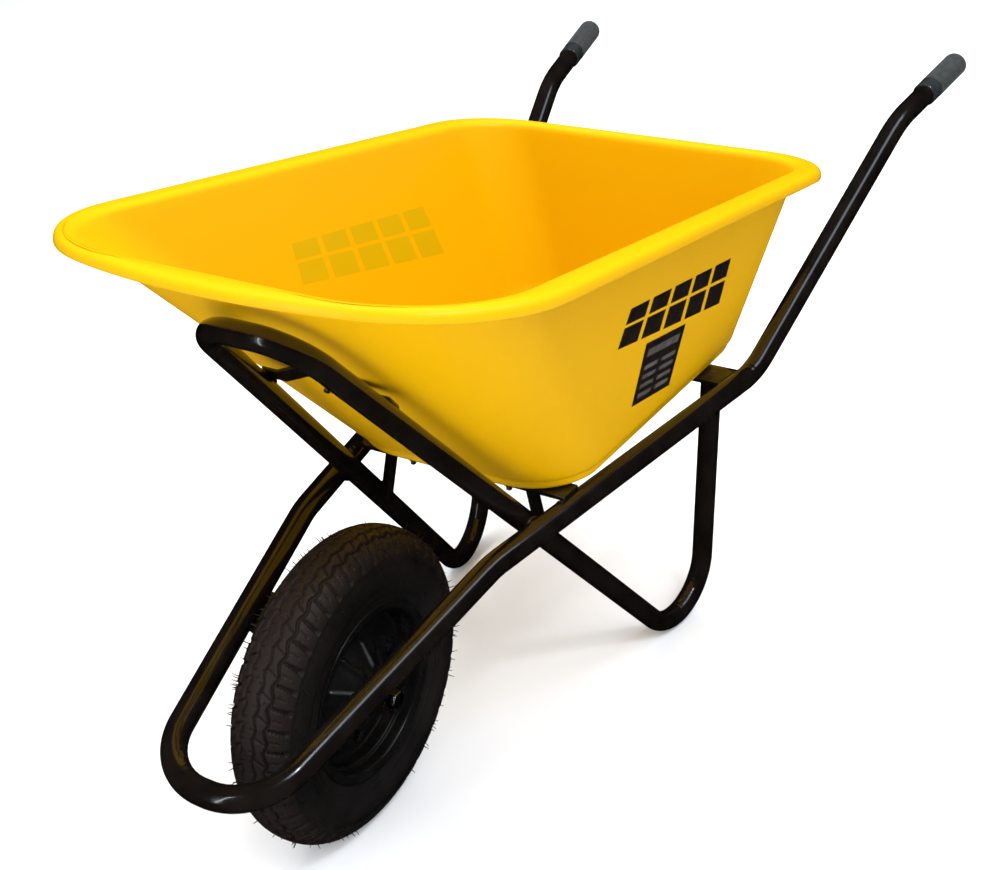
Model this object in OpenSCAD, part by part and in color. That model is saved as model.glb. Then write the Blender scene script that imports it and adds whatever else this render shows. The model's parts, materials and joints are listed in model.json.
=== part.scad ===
// Wheelbarrow with a deep plastic tray, a bent tube frame and one air-filled wheel.
// Units are millimetres. +X is forward, +Y is the pusher's left, +Z is up.
// The origin is on the ground, under the middle of the whole object's box.
// Routes and shapes are given from the axle, and place() moves them into that frame.

/* [Tubes] */
// Outer diameter of the main tube
main_d = 30; // [28:1:31]
// Outer diameter of the leg tube
leg_d = 28; // [26:1:29]
// Wall thickness of both tubes
tube_wall = 1.5; // [1.2:0.1:2.5]

/* [Main tube route] */
// Distance of the grip ends behind the axle
grip_back = 1215; // [1190:5:1240]
// Half the distance between the grip ends
grip_side = 307; // [300:1:315]
// Height of the grip ends
grip_height = 629; // [620:1:640]
// Distance of the handle bend behind the axle
handle_back = 1026; // [1015:1:1035]
// Half the distance between the handle bends
handle_side = 282; // [278:1:286]
// Height of the handle bend
handle_height = 592; // [585:1:600]
// Distance of the rail's rear bend behind the axle
rail_back = 658; // [654:1:662]
// Half the distance between the rails at their rear bend
rail_side = 222.5; // [221:0.5:224]
// Height of the rails at their rear bend
rail_height = 344; // [343:1:346]
// Distance of the fork bend behind the axle
fork_back = 114; // [110:1:118]
// Half the distance between the tubes at the fork bend
fork_side = 133.5; // [132:0.5:135]
// Height of the fork bend
fork_height = 326; // [325:1:327]
// Distance of the nose in front of the axle
nose_front = 256; // [252:1:262]
// Half the distance between the nose corners
nose_side = 69; // [68:1:72]
// Height of the nose
nose_height = 224; // [220:1:228]

/* [Leg tube route] */
// Distance of the leg tube's top in front of the axle
top_front = 105; // [103:1:107]
// Half the distance between the corners at the leg tube's top
top_side = 63.5; // [62:0.5:65]
// Height of the leg tube's top
top_height = 682; // [680:1:684]
// Distance of the feet behind the axle
foot_back = 578; // [576:1:580]
// Half the distance between the feet
foot_side = 184.5; // [183:0.5:186]
// Distance of the legs' upper ends behind the axle
leg_top_back = 618; // [616:1:620]

/* [Tray] */
// Length of the rim along its slope, without the bow of its front edge
rim_length = 954; // [951:1:957]
// Width of the rim at its rear
rim_rear_width = 576; // [572:1:580]
// Width of the rim at its front
rim_front_width = 586; // [582:1:590]
// Distance of the rim's rear edge behind the axle
rim_back = 788; // [784:1:792]
// Height of the rim at its rear
rim_rear_height = 611; // [606:1:616]
// Slope of the rim, rising to the front
rim_tilt = 9.2; // [8.8:0.1:9.6]
// Height of the down-turned lip
lip_drop = 14; // [12:1:18]
// Thickness of the tray's wall
tray_wall = 4; // [3:0.5:5]
// Length of the tray's floor
floor_length = 520; // [516:1:524]
// Width of the tray's floor at its rear
floor_rear_width = 354; // [350:1:358]
// Width of the tray's floor at its front
floor_front_width = 338; // [334:1:342]

/* [Wheel] */
// Diameter of the tyre
tyre_d = 380; // [378:1:384]
// Width of the tyre
tyre_w = 86; // [84:1:88]
// Diameter of the rim's bead seat
seat_d = 200; // [199:1:201]
// Diameter of the axle
axle_d = 12; // [12:1:12]

/* [Straps] */
// Thickness of the flat straps
strap_t = 5; // [5:1:5]
// Width of the middle strap
mid_strap_w = 34; // [30:1:36]
// Width of the rear strap
rear_strap_w = 48; // [44:1:50]
// Width of the front strap
front_strap_w = 24; // [20:1:28]

/* [Grips] */
// Length of a grip
grip_length = 112; // [105:1:120]
// Outer diameter of a grip
grip_d = 35; // [34:1:38]

/* [Hidden] */

fine = 64;
coarse = 32;
fit_gap = 0.02;
run_gap = 0.05;
band_l = 1;
band_t = 0.05;
cut = 1;

main_r = main_d / 2;
leg_r = leg_d / 2;
axle_r = axle_d / 2;
wheel_r = tyre_d / 2;
axle_z = wheel_r;

// ---- vectors ----
function unit(v) = v / norm(v);
function azimuth(v) = atan2(v[1], v[0]);
function polar(v) = acos(v[2] / norm(v));

// Angle about the axis d that turns the direction a into the direction b
function roll_between(a, b, d) = atan2(cross(a, b) * d, a * b);

// The X axis after a frame's Z axis has been turned onto d
function first_x(d) =
    [cos(azimuth(d)) * cos(polar(d)), sin(azimuth(d)) * cos(polar(d)), -sin(polar(d))];

// ---- routes: corner points from the middle to the left end, and the bend radius at each corner ----
grip_end = [-grip_back, grip_side, grip_height];
handle_bend = [-handle_back, handle_side, handle_height];
rail_bend = [-rail_back, rail_side, rail_height];
fork_bend = [-fork_back, fork_side, fork_height];
nose_corner = [nose_front, nose_side, nose_height];
grip_axis = unit(grip_end - handle_bend);
grip_cap = 6;
tube_end = grip_end - grip_cap * grip_axis;

handle_bend_r = 150;
rail_bend_r = 100;
fork_bend_r = 120;
nose_bend_r = 77;
nose_middle = [nose_front, 0, nose_height];
main_route = [nose_middle, nose_corner, fork_bend, rail_bend, handle_bend, tube_end];
main_radii = [nose_bend_r, fork_bend_r, rail_bend_r, handle_bend_r];

strap_z = 346;
floor_z = strap_z + strap_t;
foot_depth = 86;
leg_lean = 5;
leg_spare = 8;
top_bend_r = 59;
foot_bend_r = 72;
top_0 = [top_front, top_side, top_height];
foot_0 = [-foot_back, foot_side, -foot_depth];
leg_end_0 = [-leg_top_back, foot_side - leg_lean, strap_z + leg_spare];

// Height of the lowest point of a bend of radius r at corner b, between points a and c
function bend_low(a, b, c, r) =
    let (u = unit(a - b), w = unit(c - b))
    let (centre = b + unit(u + w) * r / sin(acos(u * w) / 2), n = unit(cross(u, w)))
    centre[2] - r * sqrt(1 - n[2] * n[2]);

// The leg tube is moved down or up until its bends just touch the ground
leg_lift = leg_r - bend_low(top_0, foot_0, leg_end_0, foot_bend_r);
lift = [0, 0, leg_lift];
top_corner = top_0 + lift;
foot_corner = foot_0 + lift;
leg_end = leg_end_0 + lift;
top_middle = [top_corner[0], 0, top_corner[2]];
leg_route = [top_middle, top_corner, foot_corner, leg_end];
leg_radii = [top_bend_r, foot_bend_r];

// Point on the line through a and b where x is as given
function at_x(a, b, x) = a + (b - a) * (x - a[0]) / (b[0] - a[0]);

// ---- the whole object's middle along X, where the origin goes ----
grip_r = grip_d / 2;
grip_round = 9;
tilt_sin = norm([grip_axis[1], grip_axis[2]]);
rear_x = -grip_back + grip_round * (-grip_axis[0] - 1) - (grip_r - grip_round) * tilt_sin;
front_x = nose_front + main_r;
x_mid = (rear_x + front_x) / 2;

module place() {
    translate([-x_mid, 0, 0]) children();
}

// ---- shared solids ----
module rod(p, q, r) {
    d = q - p;
    translate(p) rotate([0, polar(d), azimuth(d)]) cylinder(h = norm(d), r = r, $fn = fine);
}

// A tube bent along a route. Each step is a straight length, then a roll about the tube's own
// axis, then a bend of a turn and a radius, and the next step starts where the bend ends.
function bend_turn(route, i) =
    acos(unit(route[i + 1] - route[i]) * unit(route[i + 2] - route[i + 1]));

function bend_trim(route, radii, i) =
    i < 0 || i >= len(radii) ? 0 : radii[i] * tan(bend_turn(route, i) / 2);

function bend_inward(route, i) =
    let (d = unit(route[i + 1] - route[i]), e = unit(route[i + 2] - route[i + 1]))
    unit(e - d * (d * e));

function bend_roll(route, i) =
    let (d = unit(route[i + 1] - route[i]))
    let (before = i == 0 ? first_x(d)
        : bend_inward(route, i - 1) * cos(bend_turn(route, i - 1))
            - unit(route[i] - route[i - 1]) * sin(bend_turn(route, i - 1)))
    roll_between(before, bend_inward(route, i), d);

module tube_section(r, wall) {
    difference() {
        circle(r = r, $fn = fine);
        if (wall > 0) circle(r = r - wall, $fn = fine);
    }
}

// A hair-thick band where a straight and a bend meet, so that the two are one solid
module joint_band(r, wall) {
    translate([0, 0, -band_l]) linear_extrude(2 * band_l) difference() {
        circle(r = r + band_t, $fn = fine);
        if (wall > 0) circle(r = r - wall - band_t, $fn = fine);
    }
}

module tube_from(route, radii, r, wall, i = 0) {
    straight = norm(route[i + 1] - route[i])
        - bend_trim(route, radii, i - 1) - bend_trim(route, radii, i);
    linear_extrude(straight) tube_section(r, wall);
    if (i > 0) joint_band(r, wall);
    if (i < len(radii)) {
        turn = bend_turn(route, i);
        bend_r = radii[i];
        translate([0, 0, straight]) rotate([0, 0, bend_roll(route, i)]) {
            joint_band(r, wall);
            translate([bend_r, 0, 0]) rotate([90, 0, 0]) rotate([0, 0, 180 - turn])
                rotate_extrude(angle = turn, $fn = 4 * fine)
                    translate([bend_r, 0]) tube_section(r, wall);
            translate([bend_r, 0, 0]) rotate([0, turn, 0]) translate([-bend_r, 0, 0])
                tube_from(route, radii, r, wall, i + 1);
        }
    }
}

module half_bar(route, radii, r, wall) {
    d = route[1] - route[0];
    translate(route[0]) rotate([0, polar(d), azimuth(d)]) tube_from(route, radii, r, wall);
}

// Both halves of a bar or tube. A wall of 0 makes it solid.
module whole_bar(route, radii, r, wall) {
    half_bar(route, radii, r, wall);
    mirror([0, 1, 0]) half_bar(route, radii, r, wall);
}

module main_bar(wall = 0) {
    whole_bar(main_route, main_radii, main_r, wall);
}

module leg_bar(wall = 0) {
    whole_bar(leg_route, leg_radii, leg_r, wall);
}

module on_side(side) {
    if (side > 0) children();
    else mirror([0, 1, 0]) children();
}

// Turns a solid made along Z so that it runs along +Y on the axle's line
module along_axle() {
    translate([0, 0, axle_z]) rotate([-90, 0, 0]) children();
}

module ring(r_out, r_in, h) {
    difference() {
        cylinder(h = h, r = r_out, $fn = fine);
        translate([0, 0, -cut]) cylinder(h = h + 2 * cut, r = r_in, $fn = fine);
    }
}

module hexagon(across, h) {
    cylinder(h = h, r = across / 2 / cos(30), $fn = 6);
}

module hex_nut(across, hole_r, h) {
    difference() {
        hexagon(across, h);
        translate([0, 0, -cut]) cylinder(h = h + 2 * cut, r = hole_r, $fn = fine);
    }
}

// ---- tray ----
rim_in_rear = 25;
rim_in_side = 30;
rim_in_front = 14;
rear_corner_r = 110;
front_corner_r = 175;
bow = 16;
bow_r = 458;
bow_half_angle = 12;
floor_rear_r = 74;
floor_front_r = 90;
floor_step = 14;
floor_back = 747;
sliver = 0.01;

module rim_frame() {
    translate([-rim_back, 0, rim_rear_height]) rotate([0, -rim_tilt, 0]) children();
}

module corner_pair(x, half_width, r, grow) {
    for (side = [-1, 1])
        translate([x, side * (half_width - r)]) circle(r = r + grow, $fn = coarse);
}

// The rim's outer outline in its own sloping plane, with a slightly bowed front edge
module rim_outline(inset) {
    rear_half = rim_rear_width / 2;
    front_half = rim_front_width / 2;
    hull() {
        corner_pair(rear_corner_r, rear_half, rear_corner_r, -inset);
        corner_pair(rim_length - front_corner_r, front_half, front_corner_r, -inset);
        polygon([
            for (a = [-bow_half_angle:1:bow_half_angle])
                [rim_length + bow - bow_r + (bow_r - inset) * cos(a), bow_r * sin(a)]
        ]);
    }
}

// Outline of the wall where it meets the rim's plane
module wall_outline(grow) {
    r1 = rear_corner_r - rim_in_rear;
    r2 = front_corner_r - rim_in_side;
    corner_pair(rim_in_rear + r1, rim_rear_width / 2 - rim_in_side, r1, grow);
    corner_pair(rim_length - rim_in_front - r2, rim_front_width / 2 - rim_in_side, r2, grow);
}

module floor_outline(grow) {
    corner_pair(floor_rear_r, floor_rear_width / 2, floor_rear_r, grow);
    corner_pair(floor_length - floor_front_r, floor_front_width / 2, floor_front_r, grow);
}

// The tray as a closed block: a floor with a stepped edge, and walls that lean outwards
module tray_block(grow, floor_up, top_up) {
    hull() {
        translate([-floor_back, 0, floor_z + floor_up])
            linear_extrude(sliver) floor_outline(grow - floor_step);
        translate([-floor_back, 0, floor_z + floor_step])
            linear_extrude(sliver) floor_outline(grow);
        rim_frame() translate([0, 0, top_up]) linear_extrude(sliver) wall_outline(grow + top_up / 2);
    }
}

module tray_lip() {
    difference() {
        rim_frame() translate([0, 0, -lip_drop]) linear_extrude(lip_drop) rim_outline(0);
        rim_frame() translate([0, 0, -lip_drop - cut])
            linear_extrude(lip_drop + cut - tray_wall) rim_outline(tray_wall);
    }
}

// ---- fasteners of the tray ----
mid_strap_x = -262;
rear_strap_x = -618.5;
mid_bolt_y = 70;
rear_bolt_y = 110;
tray_bolt_r = 4;
tray_head_r = 9;
tray_head_edge_h = 1.2;
tray_head_dome_h = 1;
tray_head_top_r = 5;
tray_recess_r = 10;
tray_seat = 1.4;
tray_bolt_len = 22;
tray_washer_r = 9;
tray_washer_t = 1.6;
tray_nut_across = 13;
tray_nut_h = 6.5;
bolt_hole_gap = 0.3;

leg_slope = atan2(top_corner[2] - foot_corner[2], top_corner[0] - foot_corner[0]);
front_strap_down = 168;
front_strap_low = leg_r;

// The outer face of the tray's front wall, from the floor's edge to the rim
front_wall_low = [-floor_back + floor_length, 0, floor_z + floor_step];
front_wall_run = (rim_length - rim_in_front) * cos(rim_tilt) - rim_back - front_wall_low[0];
front_wall_rise = (rim_length - rim_in_front) * sin(rim_tilt) + rim_rear_height - front_wall_low[2];
front_wall_slope = atan2(front_wall_rise, front_wall_run);

// Distance from the leg tube's slanting plane to the front wall, at a distance down that plane
function wall_gap(down) =
    let (from_top = [top_corner[0] - down * cos(leg_slope), 0, top_corner[2] - down * sin(leg_slope)])
    let (out = [-sin(front_wall_slope), 0, cos(front_wall_slope)])
    (front_wall_low - from_top) * out / cos(front_wall_slope - leg_slope);

// The front strap's middle is bent up until it all but touches the wall
strap_clear = 0.1;
strap_rise = min(wall_gap(front_strap_down - front_strap_w / 2),
    wall_gap(front_strap_down + front_strap_w / 2)) - front_strap_low - strap_t - strap_clear;
front_bolt_z = front_strap_low + strap_rise + strap_t;

// The leg tube's slanting plane: X runs up it, Z stands on it towards the tray
module leg_plane() {
    translate([top_corner[0], 0, top_corner[2]]) rotate([0, -leg_slope, 0]) children();
}

// Puts a part at each tray bolt, with Z up the bolt and Z = 0 on the strap's tray side
module at_tray_bolts() {
    for (side = [-1, 1]) {
        translate([mid_strap_x, side * mid_bolt_y, floor_z]) children();
        translate([rear_strap_x, side * rear_bolt_y, floor_z]) children();
    }
    leg_plane() translate([-front_strap_down, 0, front_bolt_z]) children();
}

module tray() {
    color("gold") place() difference() {
        union() {
            tray_block(0, 0, 0);
            tray_lip();
        }
        tray_block(-tray_wall, tray_wall, 2 * cut);
        at_tray_bolts() {
            translate([0, 0, -tray_wall])
                cylinder(h = 2 * tray_wall, r = tray_bolt_r + bolt_hole_gap, $fn = fine);
            translate([0, 0, tray_seat]) cylinder(h = 2 * tray_wall, r = tray_recess_r, $fn = fine);
        }
    }
}

// Flat round-headed bolts, whose heads sit in shallow recesses inside the tray
module tray_bolts() {
    color("silver") place() at_tray_bolts() {
        translate([0, 0, tray_seat - tray_bolt_len])
            cylinder(h = tray_bolt_len, r = tray_bolt_r, $fn = fine);
        translate([0, 0, tray_seat]) cylinder(h = tray_head_edge_h, r = tray_head_r, $fn = fine);
        translate([0, 0, tray_seat + tray_head_edge_h])
            cylinder(h = tray_head_dome_h, r1 = tray_head_r, r2 = tray_head_top_r, $fn = fine);
    }
}

module tray_washers() {
    color("silver") place() at_tray_bolts()
        translate([0, 0, -strap_t - tray_washer_t])
            ring(tray_washer_r, tray_bolt_r + bolt_hole_gap, tray_washer_t);
}

module tray_nuts() {
    color("silver") place() at_tray_bolts()
        translate([0, 0, -strap_t - tray_washer_t - tray_nut_h])
            hex_nut(tray_nut_across, tray_bolt_r + fit_gap, tray_nut_h);
}

// ---- frame tubes ----
trim_h = 40;
trim_l = 80;

module main_frame_tube() {
    color("black") place() main_bar(tube_wall);
}

// The space just above the straps' lower faces, round the X given, to trim what they sit on
module above_strap_line(x, width) {
    translate([x, 0, strap_z + trim_h / 2]) cube([trim_l, width, trim_h], center = true);
}

module leg_frame_tube() {
    color("black") place() difference() {
        leg_bar(tube_wall);
        above_strap_line(-leg_top_back, 2 * rail_side);
    }
}

// ---- straps and struts ----
mid_strap_over = -2;
strap_flat_y = 38;
strap_slant_y = 62;
mid_rail = at_x(rail_bend, fork_bend, mid_strap_x);
mid_half = mid_rail[1] + mid_strap_over;
rear_rail = at_x(rail_bend, fork_bend, rear_strap_x);

module strap_holes(y) {
    for (side = [-1, 1])
        translate([0, side * y, -cut])
            cylinder(h = strap_t + 2 * cut, r = tray_bolt_r + bolt_hole_gap, $fn = fine);
}

// The front strap seen from below: flat ends on the stays and a raised middle
module front_strap_profile() {
    side_y = at_x(top_corner, foot_corner, top_corner[0] - front_strap_down * cos(leg_slope))[1];
    bend = strap_t * tan(atan2(strap_rise, strap_slant_y - strap_flat_y) / 2);
    polygon([
        [-side_y, 0],
        [-strap_slant_y, 0],
        [-strap_flat_y, strap_rise],
        [strap_flat_y, strap_rise],
        [strap_slant_y, 0],
        [side_y, 0],
        [side_y, strap_t],
        [strap_slant_y + bend, strap_t],
        [strap_flat_y + bend, strap_rise + strap_t],
        [-strap_flat_y - bend, strap_rise + strap_t],
        [-strap_slant_y - bend, strap_t],
        [-side_y, strap_t]
    ]);
}

module front_strap() {
    color("black") place() leg_plane() translate([-front_strap_down, 0, front_strap_low]) difference() {
        translate([-front_strap_w / 2, 0, 0]) rotate([90, 0, 90])
            linear_extrude(front_strap_w) front_strap_profile();
        translate([0, 0, -cut])
            cylinder(h = strap_rise + strap_t + 2 * cut, r = tray_bolt_r + bolt_hole_gap, $fn = fine);
    }
}

module mid_strap() {
    color("black") place() difference() {
        translate([mid_strap_x, 0, strap_z]) difference() {
            translate([-mid_strap_w / 2, -mid_half, 0]) cube([mid_strap_w, 2 * mid_half, strap_t]);
            strap_holes(mid_bolt_y);
        }
        main_bar();
    }
}

module rear_strap() {
    color("black") place() difference() {
        translate([rear_strap_x, 0, strap_z]) difference() {
            translate([-rear_strap_w / 2, -rear_rail[1], 0])
                cube([rear_strap_w, 2 * rear_rail[1], strap_t]);
            strap_holes(rear_bolt_y);
        }
        main_bar();
    }
}

strut_r = 8;
strut_in = 12;
strut_top_y = 100;
strut_spare = 4;
strut_foot = at_x(top_corner, foot_corner, mid_strap_x) - [0, strut_in, 0];

module strut(side) {
    on_side(side) difference() {
        rod(strut_foot, [mid_strap_x, strut_top_y, strap_z + strut_spare], strut_r);
        leg_bar();
        above_strap_line(mid_strap_x, 2 * rail_side);
    }
}

module strut_left() {
    color("black") place() strut(1);
}

module strut_right() {
    color("black") place() strut(-1);
}

// ---- axle bracket: a plate that leans in from the main tube and then hangs straight down ----
bracket_t = 5;
bracket_in = 55;
bracket_boss_r = 20;
bracket_bend_z = 228;
bracket_top = at_x(fork_bend, nose_corner, 30);
bracket_top_w = 62;

module bracket_side_view() {
    hull() {
        translate([0, axle_z]) circle(r = bracket_boss_r, $fn = fine);
        translate([bracket_top[0], bracket_top[2]])
            square([bracket_top_w, 2 * bracket_t], center = true);
    }
}

module bracket_front_view() {
    y = bracket_in;
    polygon([
        [y, axle_z - bracket_boss_r - cut],
        [y + bracket_t, axle_z - bracket_boss_r - cut],
        [y + bracket_t, bracket_bend_z],
        [bracket_top[1] + bracket_t / 2, bracket_top[2]],
        [bracket_top[1] - bracket_t, bracket_top[2]],
        [y, bracket_bend_z + bracket_t / 2]
    ]);
}

module axle_bracket(side) {
    on_side(side) difference() {
        intersection() {
            translate([-tyre_d / 2, 0, 0]) rotate([90, 0, 90])
                linear_extrude(tyre_d) bracket_front_view();
            translate([0, tyre_d / 2, 0]) rotate([90, 0, 0])
                linear_extrude(tyre_d / 2) bracket_side_view();
        }
        along_axle() translate([0, 0, bracket_in - cut])
            cylinder(h = bracket_t + 2 * cut, r = axle_r + run_gap, $fn = fine);
        main_bar();
    }
}

module axle_bracket_left() {
    color("black") place() axle_bracket(1);
}

module axle_bracket_right() {
    color("black") place() axle_bracket(-1);
}

// ---- axle ----
bracket_out = bracket_in + bracket_t;
axle_washer_t = 2.5;
axle_washer_r = 12;
axle_head_across = 19;
axle_head_h = 7.5;
axle_nut_h = 10;
axle_tail = 6;
spacer_r = 9;
bearing_w = 10;
bearing_end = 36;

module both_axle_sides() {
    along_axle() {
        children();
        mirror([0, 0, 1]) children();
    }
}

module axle_bolt() {
    head = bracket_out + axle_washer_t;
    tail = head + axle_nut_h + axle_tail;
    color("silver") place() along_axle() {
        translate([0, 0, -tail]) cylinder(h = tail + head, r = axle_r, $fn = fine);
        translate([0, 0, head]) hexagon(axle_head_across, axle_head_h);
    }
}

module axle_nut() {
    color("silver") place() along_axle()
        translate([0, 0, -bracket_out - axle_washer_t - axle_nut_h])
            hex_nut(axle_head_across, axle_r + fit_gap, axle_nut_h);
}

module axle_washers() {
    color("silver") place() both_axle_sides()
        translate([0, 0, bracket_out]) ring(axle_washer_r, axle_r + run_gap, axle_washer_t);
}

module axle_spacers() {
    color("dimgray") place() both_axle_sides()
        translate([0, 0, bearing_end]) ring(spacer_r, axle_r + run_gap, bracket_in - bearing_end);
}

module axle_sleeve() {
    half = bearing_end - bearing_w;
    color("silver") place() along_axle()
        translate([0, 0, -half]) ring(spacer_r, axle_r + run_gap, 2 * half);
}

// ---- ball bearings, 12 x 32 x 10 ----
bearing_r = 16;
inner_ring_r = 8.8;
outer_ring_in_r = 13.4;
ball_circle_r = 11.1;
ball_r = 2.9;
groove_r = 3.2;
ball_count = 8;
shield_t = 0.6;
shield_in_r = 9.3;

module at_bearings() {
    both_axle_sides() translate([0, 0, bearing_end - bearing_w]) children();
}

module ball_groove() {
    translate([0, 0, bearing_w / 2])
        rotate_extrude($fn = fine) translate([ball_circle_r, 0]) circle(r = groove_r, $fn = fine);
}

module bearing_inner_rings() {
    color("silver") place() at_bearings() difference() {
        ring(inner_ring_r, axle_r + fit_gap, bearing_w);
        ball_groove();
    }
}

module bearing_outer_rings() {
    color("silver") place() at_bearings() difference() {
        ring(bearing_r, outer_ring_in_r, bearing_w);
        ball_groove();
    }
}

module bearing_balls() {
    color("silver") place() at_bearings()
        for (i = [0:ball_count - 1])
            rotate([0, 0, i * 360 / ball_count])
                translate([ball_circle_r, 0, bearing_w / 2]) sphere(r = ball_r, $fn = coarse);
}

module bearing_shields() {
    color("dimgray") place() at_bearings()
        translate([0, 0, bearing_w - shield_t]) ring(outer_ring_in_r, shield_in_r, shield_t);
}

// ---- hub and rim ----
hub_r = 19;
hub_in_r = 13.5;
seat_r = seat_d / 2;
sheet_t = 2.5;
well_r = seat_r - 3;
flange_r = seat_r + 9;
flange_y = 35;
well_y = 20;
dish_r = 58;
collar_w = 8;
cone_edge = 0.5;
cone_t = 3.5;
curl_r = 1.65;
rim_bolt_r = 4;
rim_bolt_circle_r = 77;
rim_bolt_count = 4;
rim_bolt_across = 13;
rim_bolt_head_h = 5.3;
rim_nut_h = 6.5;
rib_count = 8;
rib_r = 3;
rib_start = 0.16;
rib_end = 0.12;
valve_angle = 225;
valve_y = 12;
valve_hole_r = 5.6;

module hub_tube() {
    color("black") place() along_axle() difference() {
        translate([0, 0, -bearing_end]) cylinder(h = 2 * bearing_end, r = hub_r, $fn = fine);
        translate([0, 0, -bearing_end - cut])
            cylinder(h = 2 * bearing_end + 2 * cut, r = hub_in_r, $fn = fine);
        for (end = [-1, 1])
            translate([0, 0, end * (bearing_end - bearing_w / 2 + cut / 2)])
                cylinder(h = bearing_w + cut, r = bearing_r + fit_gap, center = true, $fn = fine);
    }
}

// Half of the rim in section: X is the radius and Y is the distance from the middle plane
module rim_section() {
    collar = hub_r + fit_gap;
    translate([collar, bearing_end - collar_w]) square([sheet_t, collar_w]);
    polygon([
        [collar + sheet_t, bearing_end - cone_edge - cone_t],
        [collar + sheet_t, bearing_end - cone_edge],
        [dish_r, sheet_t],
        [dish_r - sheet_t, 0]
    ]);
    translate([dish_r - sheet_t, 0]) square([well_r - dish_r + sheet_t, sheet_t]);
    translate([well_r - sheet_t, 0]) square([sheet_t, well_y + sheet_t]);
    translate([well_r - sheet_t, well_y]) square([seat_r - well_r + sheet_t, sheet_t]);
    translate([seat_r - sheet_t, well_y]) square([sheet_t, flange_y + sheet_t - well_y]);
    translate([seat_r - sheet_t, flange_y]) square([flange_r - seat_r + sheet_t, sheet_t]);
    translate([flange_r, flange_y + curl_r]) circle(r = curl_r, $fn = coarse);
}

// Ribs pressed along the cone, from near the hub to near its foot
module cone_ribs() {
    rise = bearing_end - cone_edge - sheet_t;
    run = dish_r - hub_r - sheet_t;
    for (i = [0:rib_count - 1])
        rotate([0, 0, (i + 0.5) * 360 / rib_count])
            rod([hub_r + sheet_t + run * rib_start, 0, sheet_t + rise * (1 - rib_start)],
                [dish_r - run * rib_end, 0, sheet_t + rise * rib_end], rib_r);
}

module rim_half() {
    difference() {
        union() {
            rotate_extrude($fn = 2 * fine) rim_section();
            cone_ribs();
        }
        for (i = [0:rim_bolt_count - 1])
            rotate([0, 0, i * 360 / rim_bolt_count]) translate([rim_bolt_circle_r, 0, -cut])
                cylinder(h = sheet_t + 2 * cut, r = rim_bolt_r + bolt_hole_gap, $fn = fine);
    }
}

// Turns a solid made along +X so that it points from the axle towards the valve
module towards_valve() {
    translate([0, 0, axle_z]) rotate([0, -valve_angle, 0]) translate([0, valve_y, 0]) children();
}

module rim_half_left() {
    color("black") place() difference() {
        along_axle() rim_half();
        towards_valve() translate([seat_r - 12, 0, 0])
            rotate([0, 90, 0]) cylinder(h = 20, r = valve_hole_r, $fn = fine);
    }
}

module rim_half_right() {
    color("black") place() along_axle() mirror([0, 0, 1]) rim_half();
}

module at_rim_bolts() {
    along_axle()
        for (i = [0:rim_bolt_count - 1])
            rotate([0, 0, i * 360 / rim_bolt_count]) translate([rim_bolt_circle_r, 0, 0]) children();
}

module rim_bolts() {
    tail = sheet_t + rim_nut_h + 2;
    color("silver") place() at_rim_bolts() {
        translate([0, 0, sheet_t]) hexagon(rim_bolt_across, rim_bolt_head_h);
        translate([0, 0, -tail]) cylinder(h = tail + sheet_t, r = rim_bolt_r, $fn = fine);
    }
}

module rim_nuts() {
    color("silver") place() at_rim_bolts()
        translate([0, 0, -sheet_t - rim_nut_h]) hex_nut(rim_bolt_across, rim_bolt_r + fit_gap, rim_nut_h);
}

// ---- tyre, inner tube and valve ----
tyre_wall = 6;
tyre_r = tyre_w / 2;
crown_r = wheel_r - tyre_r;
bead_in = 24;
bead_out = flange_y - fit_gap;
bead_top = crown_r - tyre_r + 20;
tube_gap = 0.4;
tube_skin = 2;
stem_r = 5;
stem_out = seat_r + 14;
stem_in = seat_r - 16;
cap_r = 4.6;
cap_h = 11;
cap_t = 1.2;

module tyre_section() {
    difference() {
        union() {
            translate([crown_r, 0]) circle(r = tyre_r, $fn = 2 * fine);
            for (side = [-1, 1])
                translate([seat_r + fit_gap, side * (bead_in + bead_out) / 2 - (bead_out - bead_in) / 2])
                    square([bead_top - seat_r, bead_out - bead_in]);
        }
        translate([crown_r, 0]) circle(r = tyre_r - tyre_wall, $fn = 2 * fine);
        translate([seat_r - cut, -bead_in]) square([crown_r - seat_r, 2 * bead_in]);
    }
}

module tyre() {
    color("dimgray") place() along_axle() rotate_extrude($fn = 2 * fine) tyre_section();
}

module inner_tube() {
    outer = tyre_r - tyre_wall - tube_gap;
    color("dimgray") place() difference() {
        along_axle() rotate_extrude($fn = 2 * fine) translate([crown_r, 0]) difference() {
            circle(r = outer, $fn = fine);
            circle(r = outer - tube_skin, $fn = fine);
        }
        towards_valve() translate([seat_r, 0, 0])
            rotate([0, 90, 0]) cylinder(h = 25, r = stem_r + fit_gap, $fn = fine);
    }
}

module valve_stem() {
    color("dimgray") place() towards_valve() translate([stem_in, 0, 0]) rotate([0, 90, 0]) {
        cylinder(h = stem_out - stem_in, r = stem_r, $fn = fine);
        translate([0, 0, -cap_h]) cylinder(h = cap_h, r = cap_r - cap_t, $fn = fine);
    }
}

module valve_cap() {
    color("black") place() towards_valve() translate([stem_in - cap_h - cap_t, 0, 0])
        rotate([0, 90, 0]) difference() {
            cylinder(h = cap_h + cap_t, r = cap_r, $fn = fine);
            translate([0, 0, cap_t])
                cylinder(h = cap_h + cut, r = cap_r - cap_t + fit_gap, $fn = fine);
        }
}

// ---- grips ----
collar_len = 24;
collar_groove = 1.2;
collar_step = 0.3;

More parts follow.
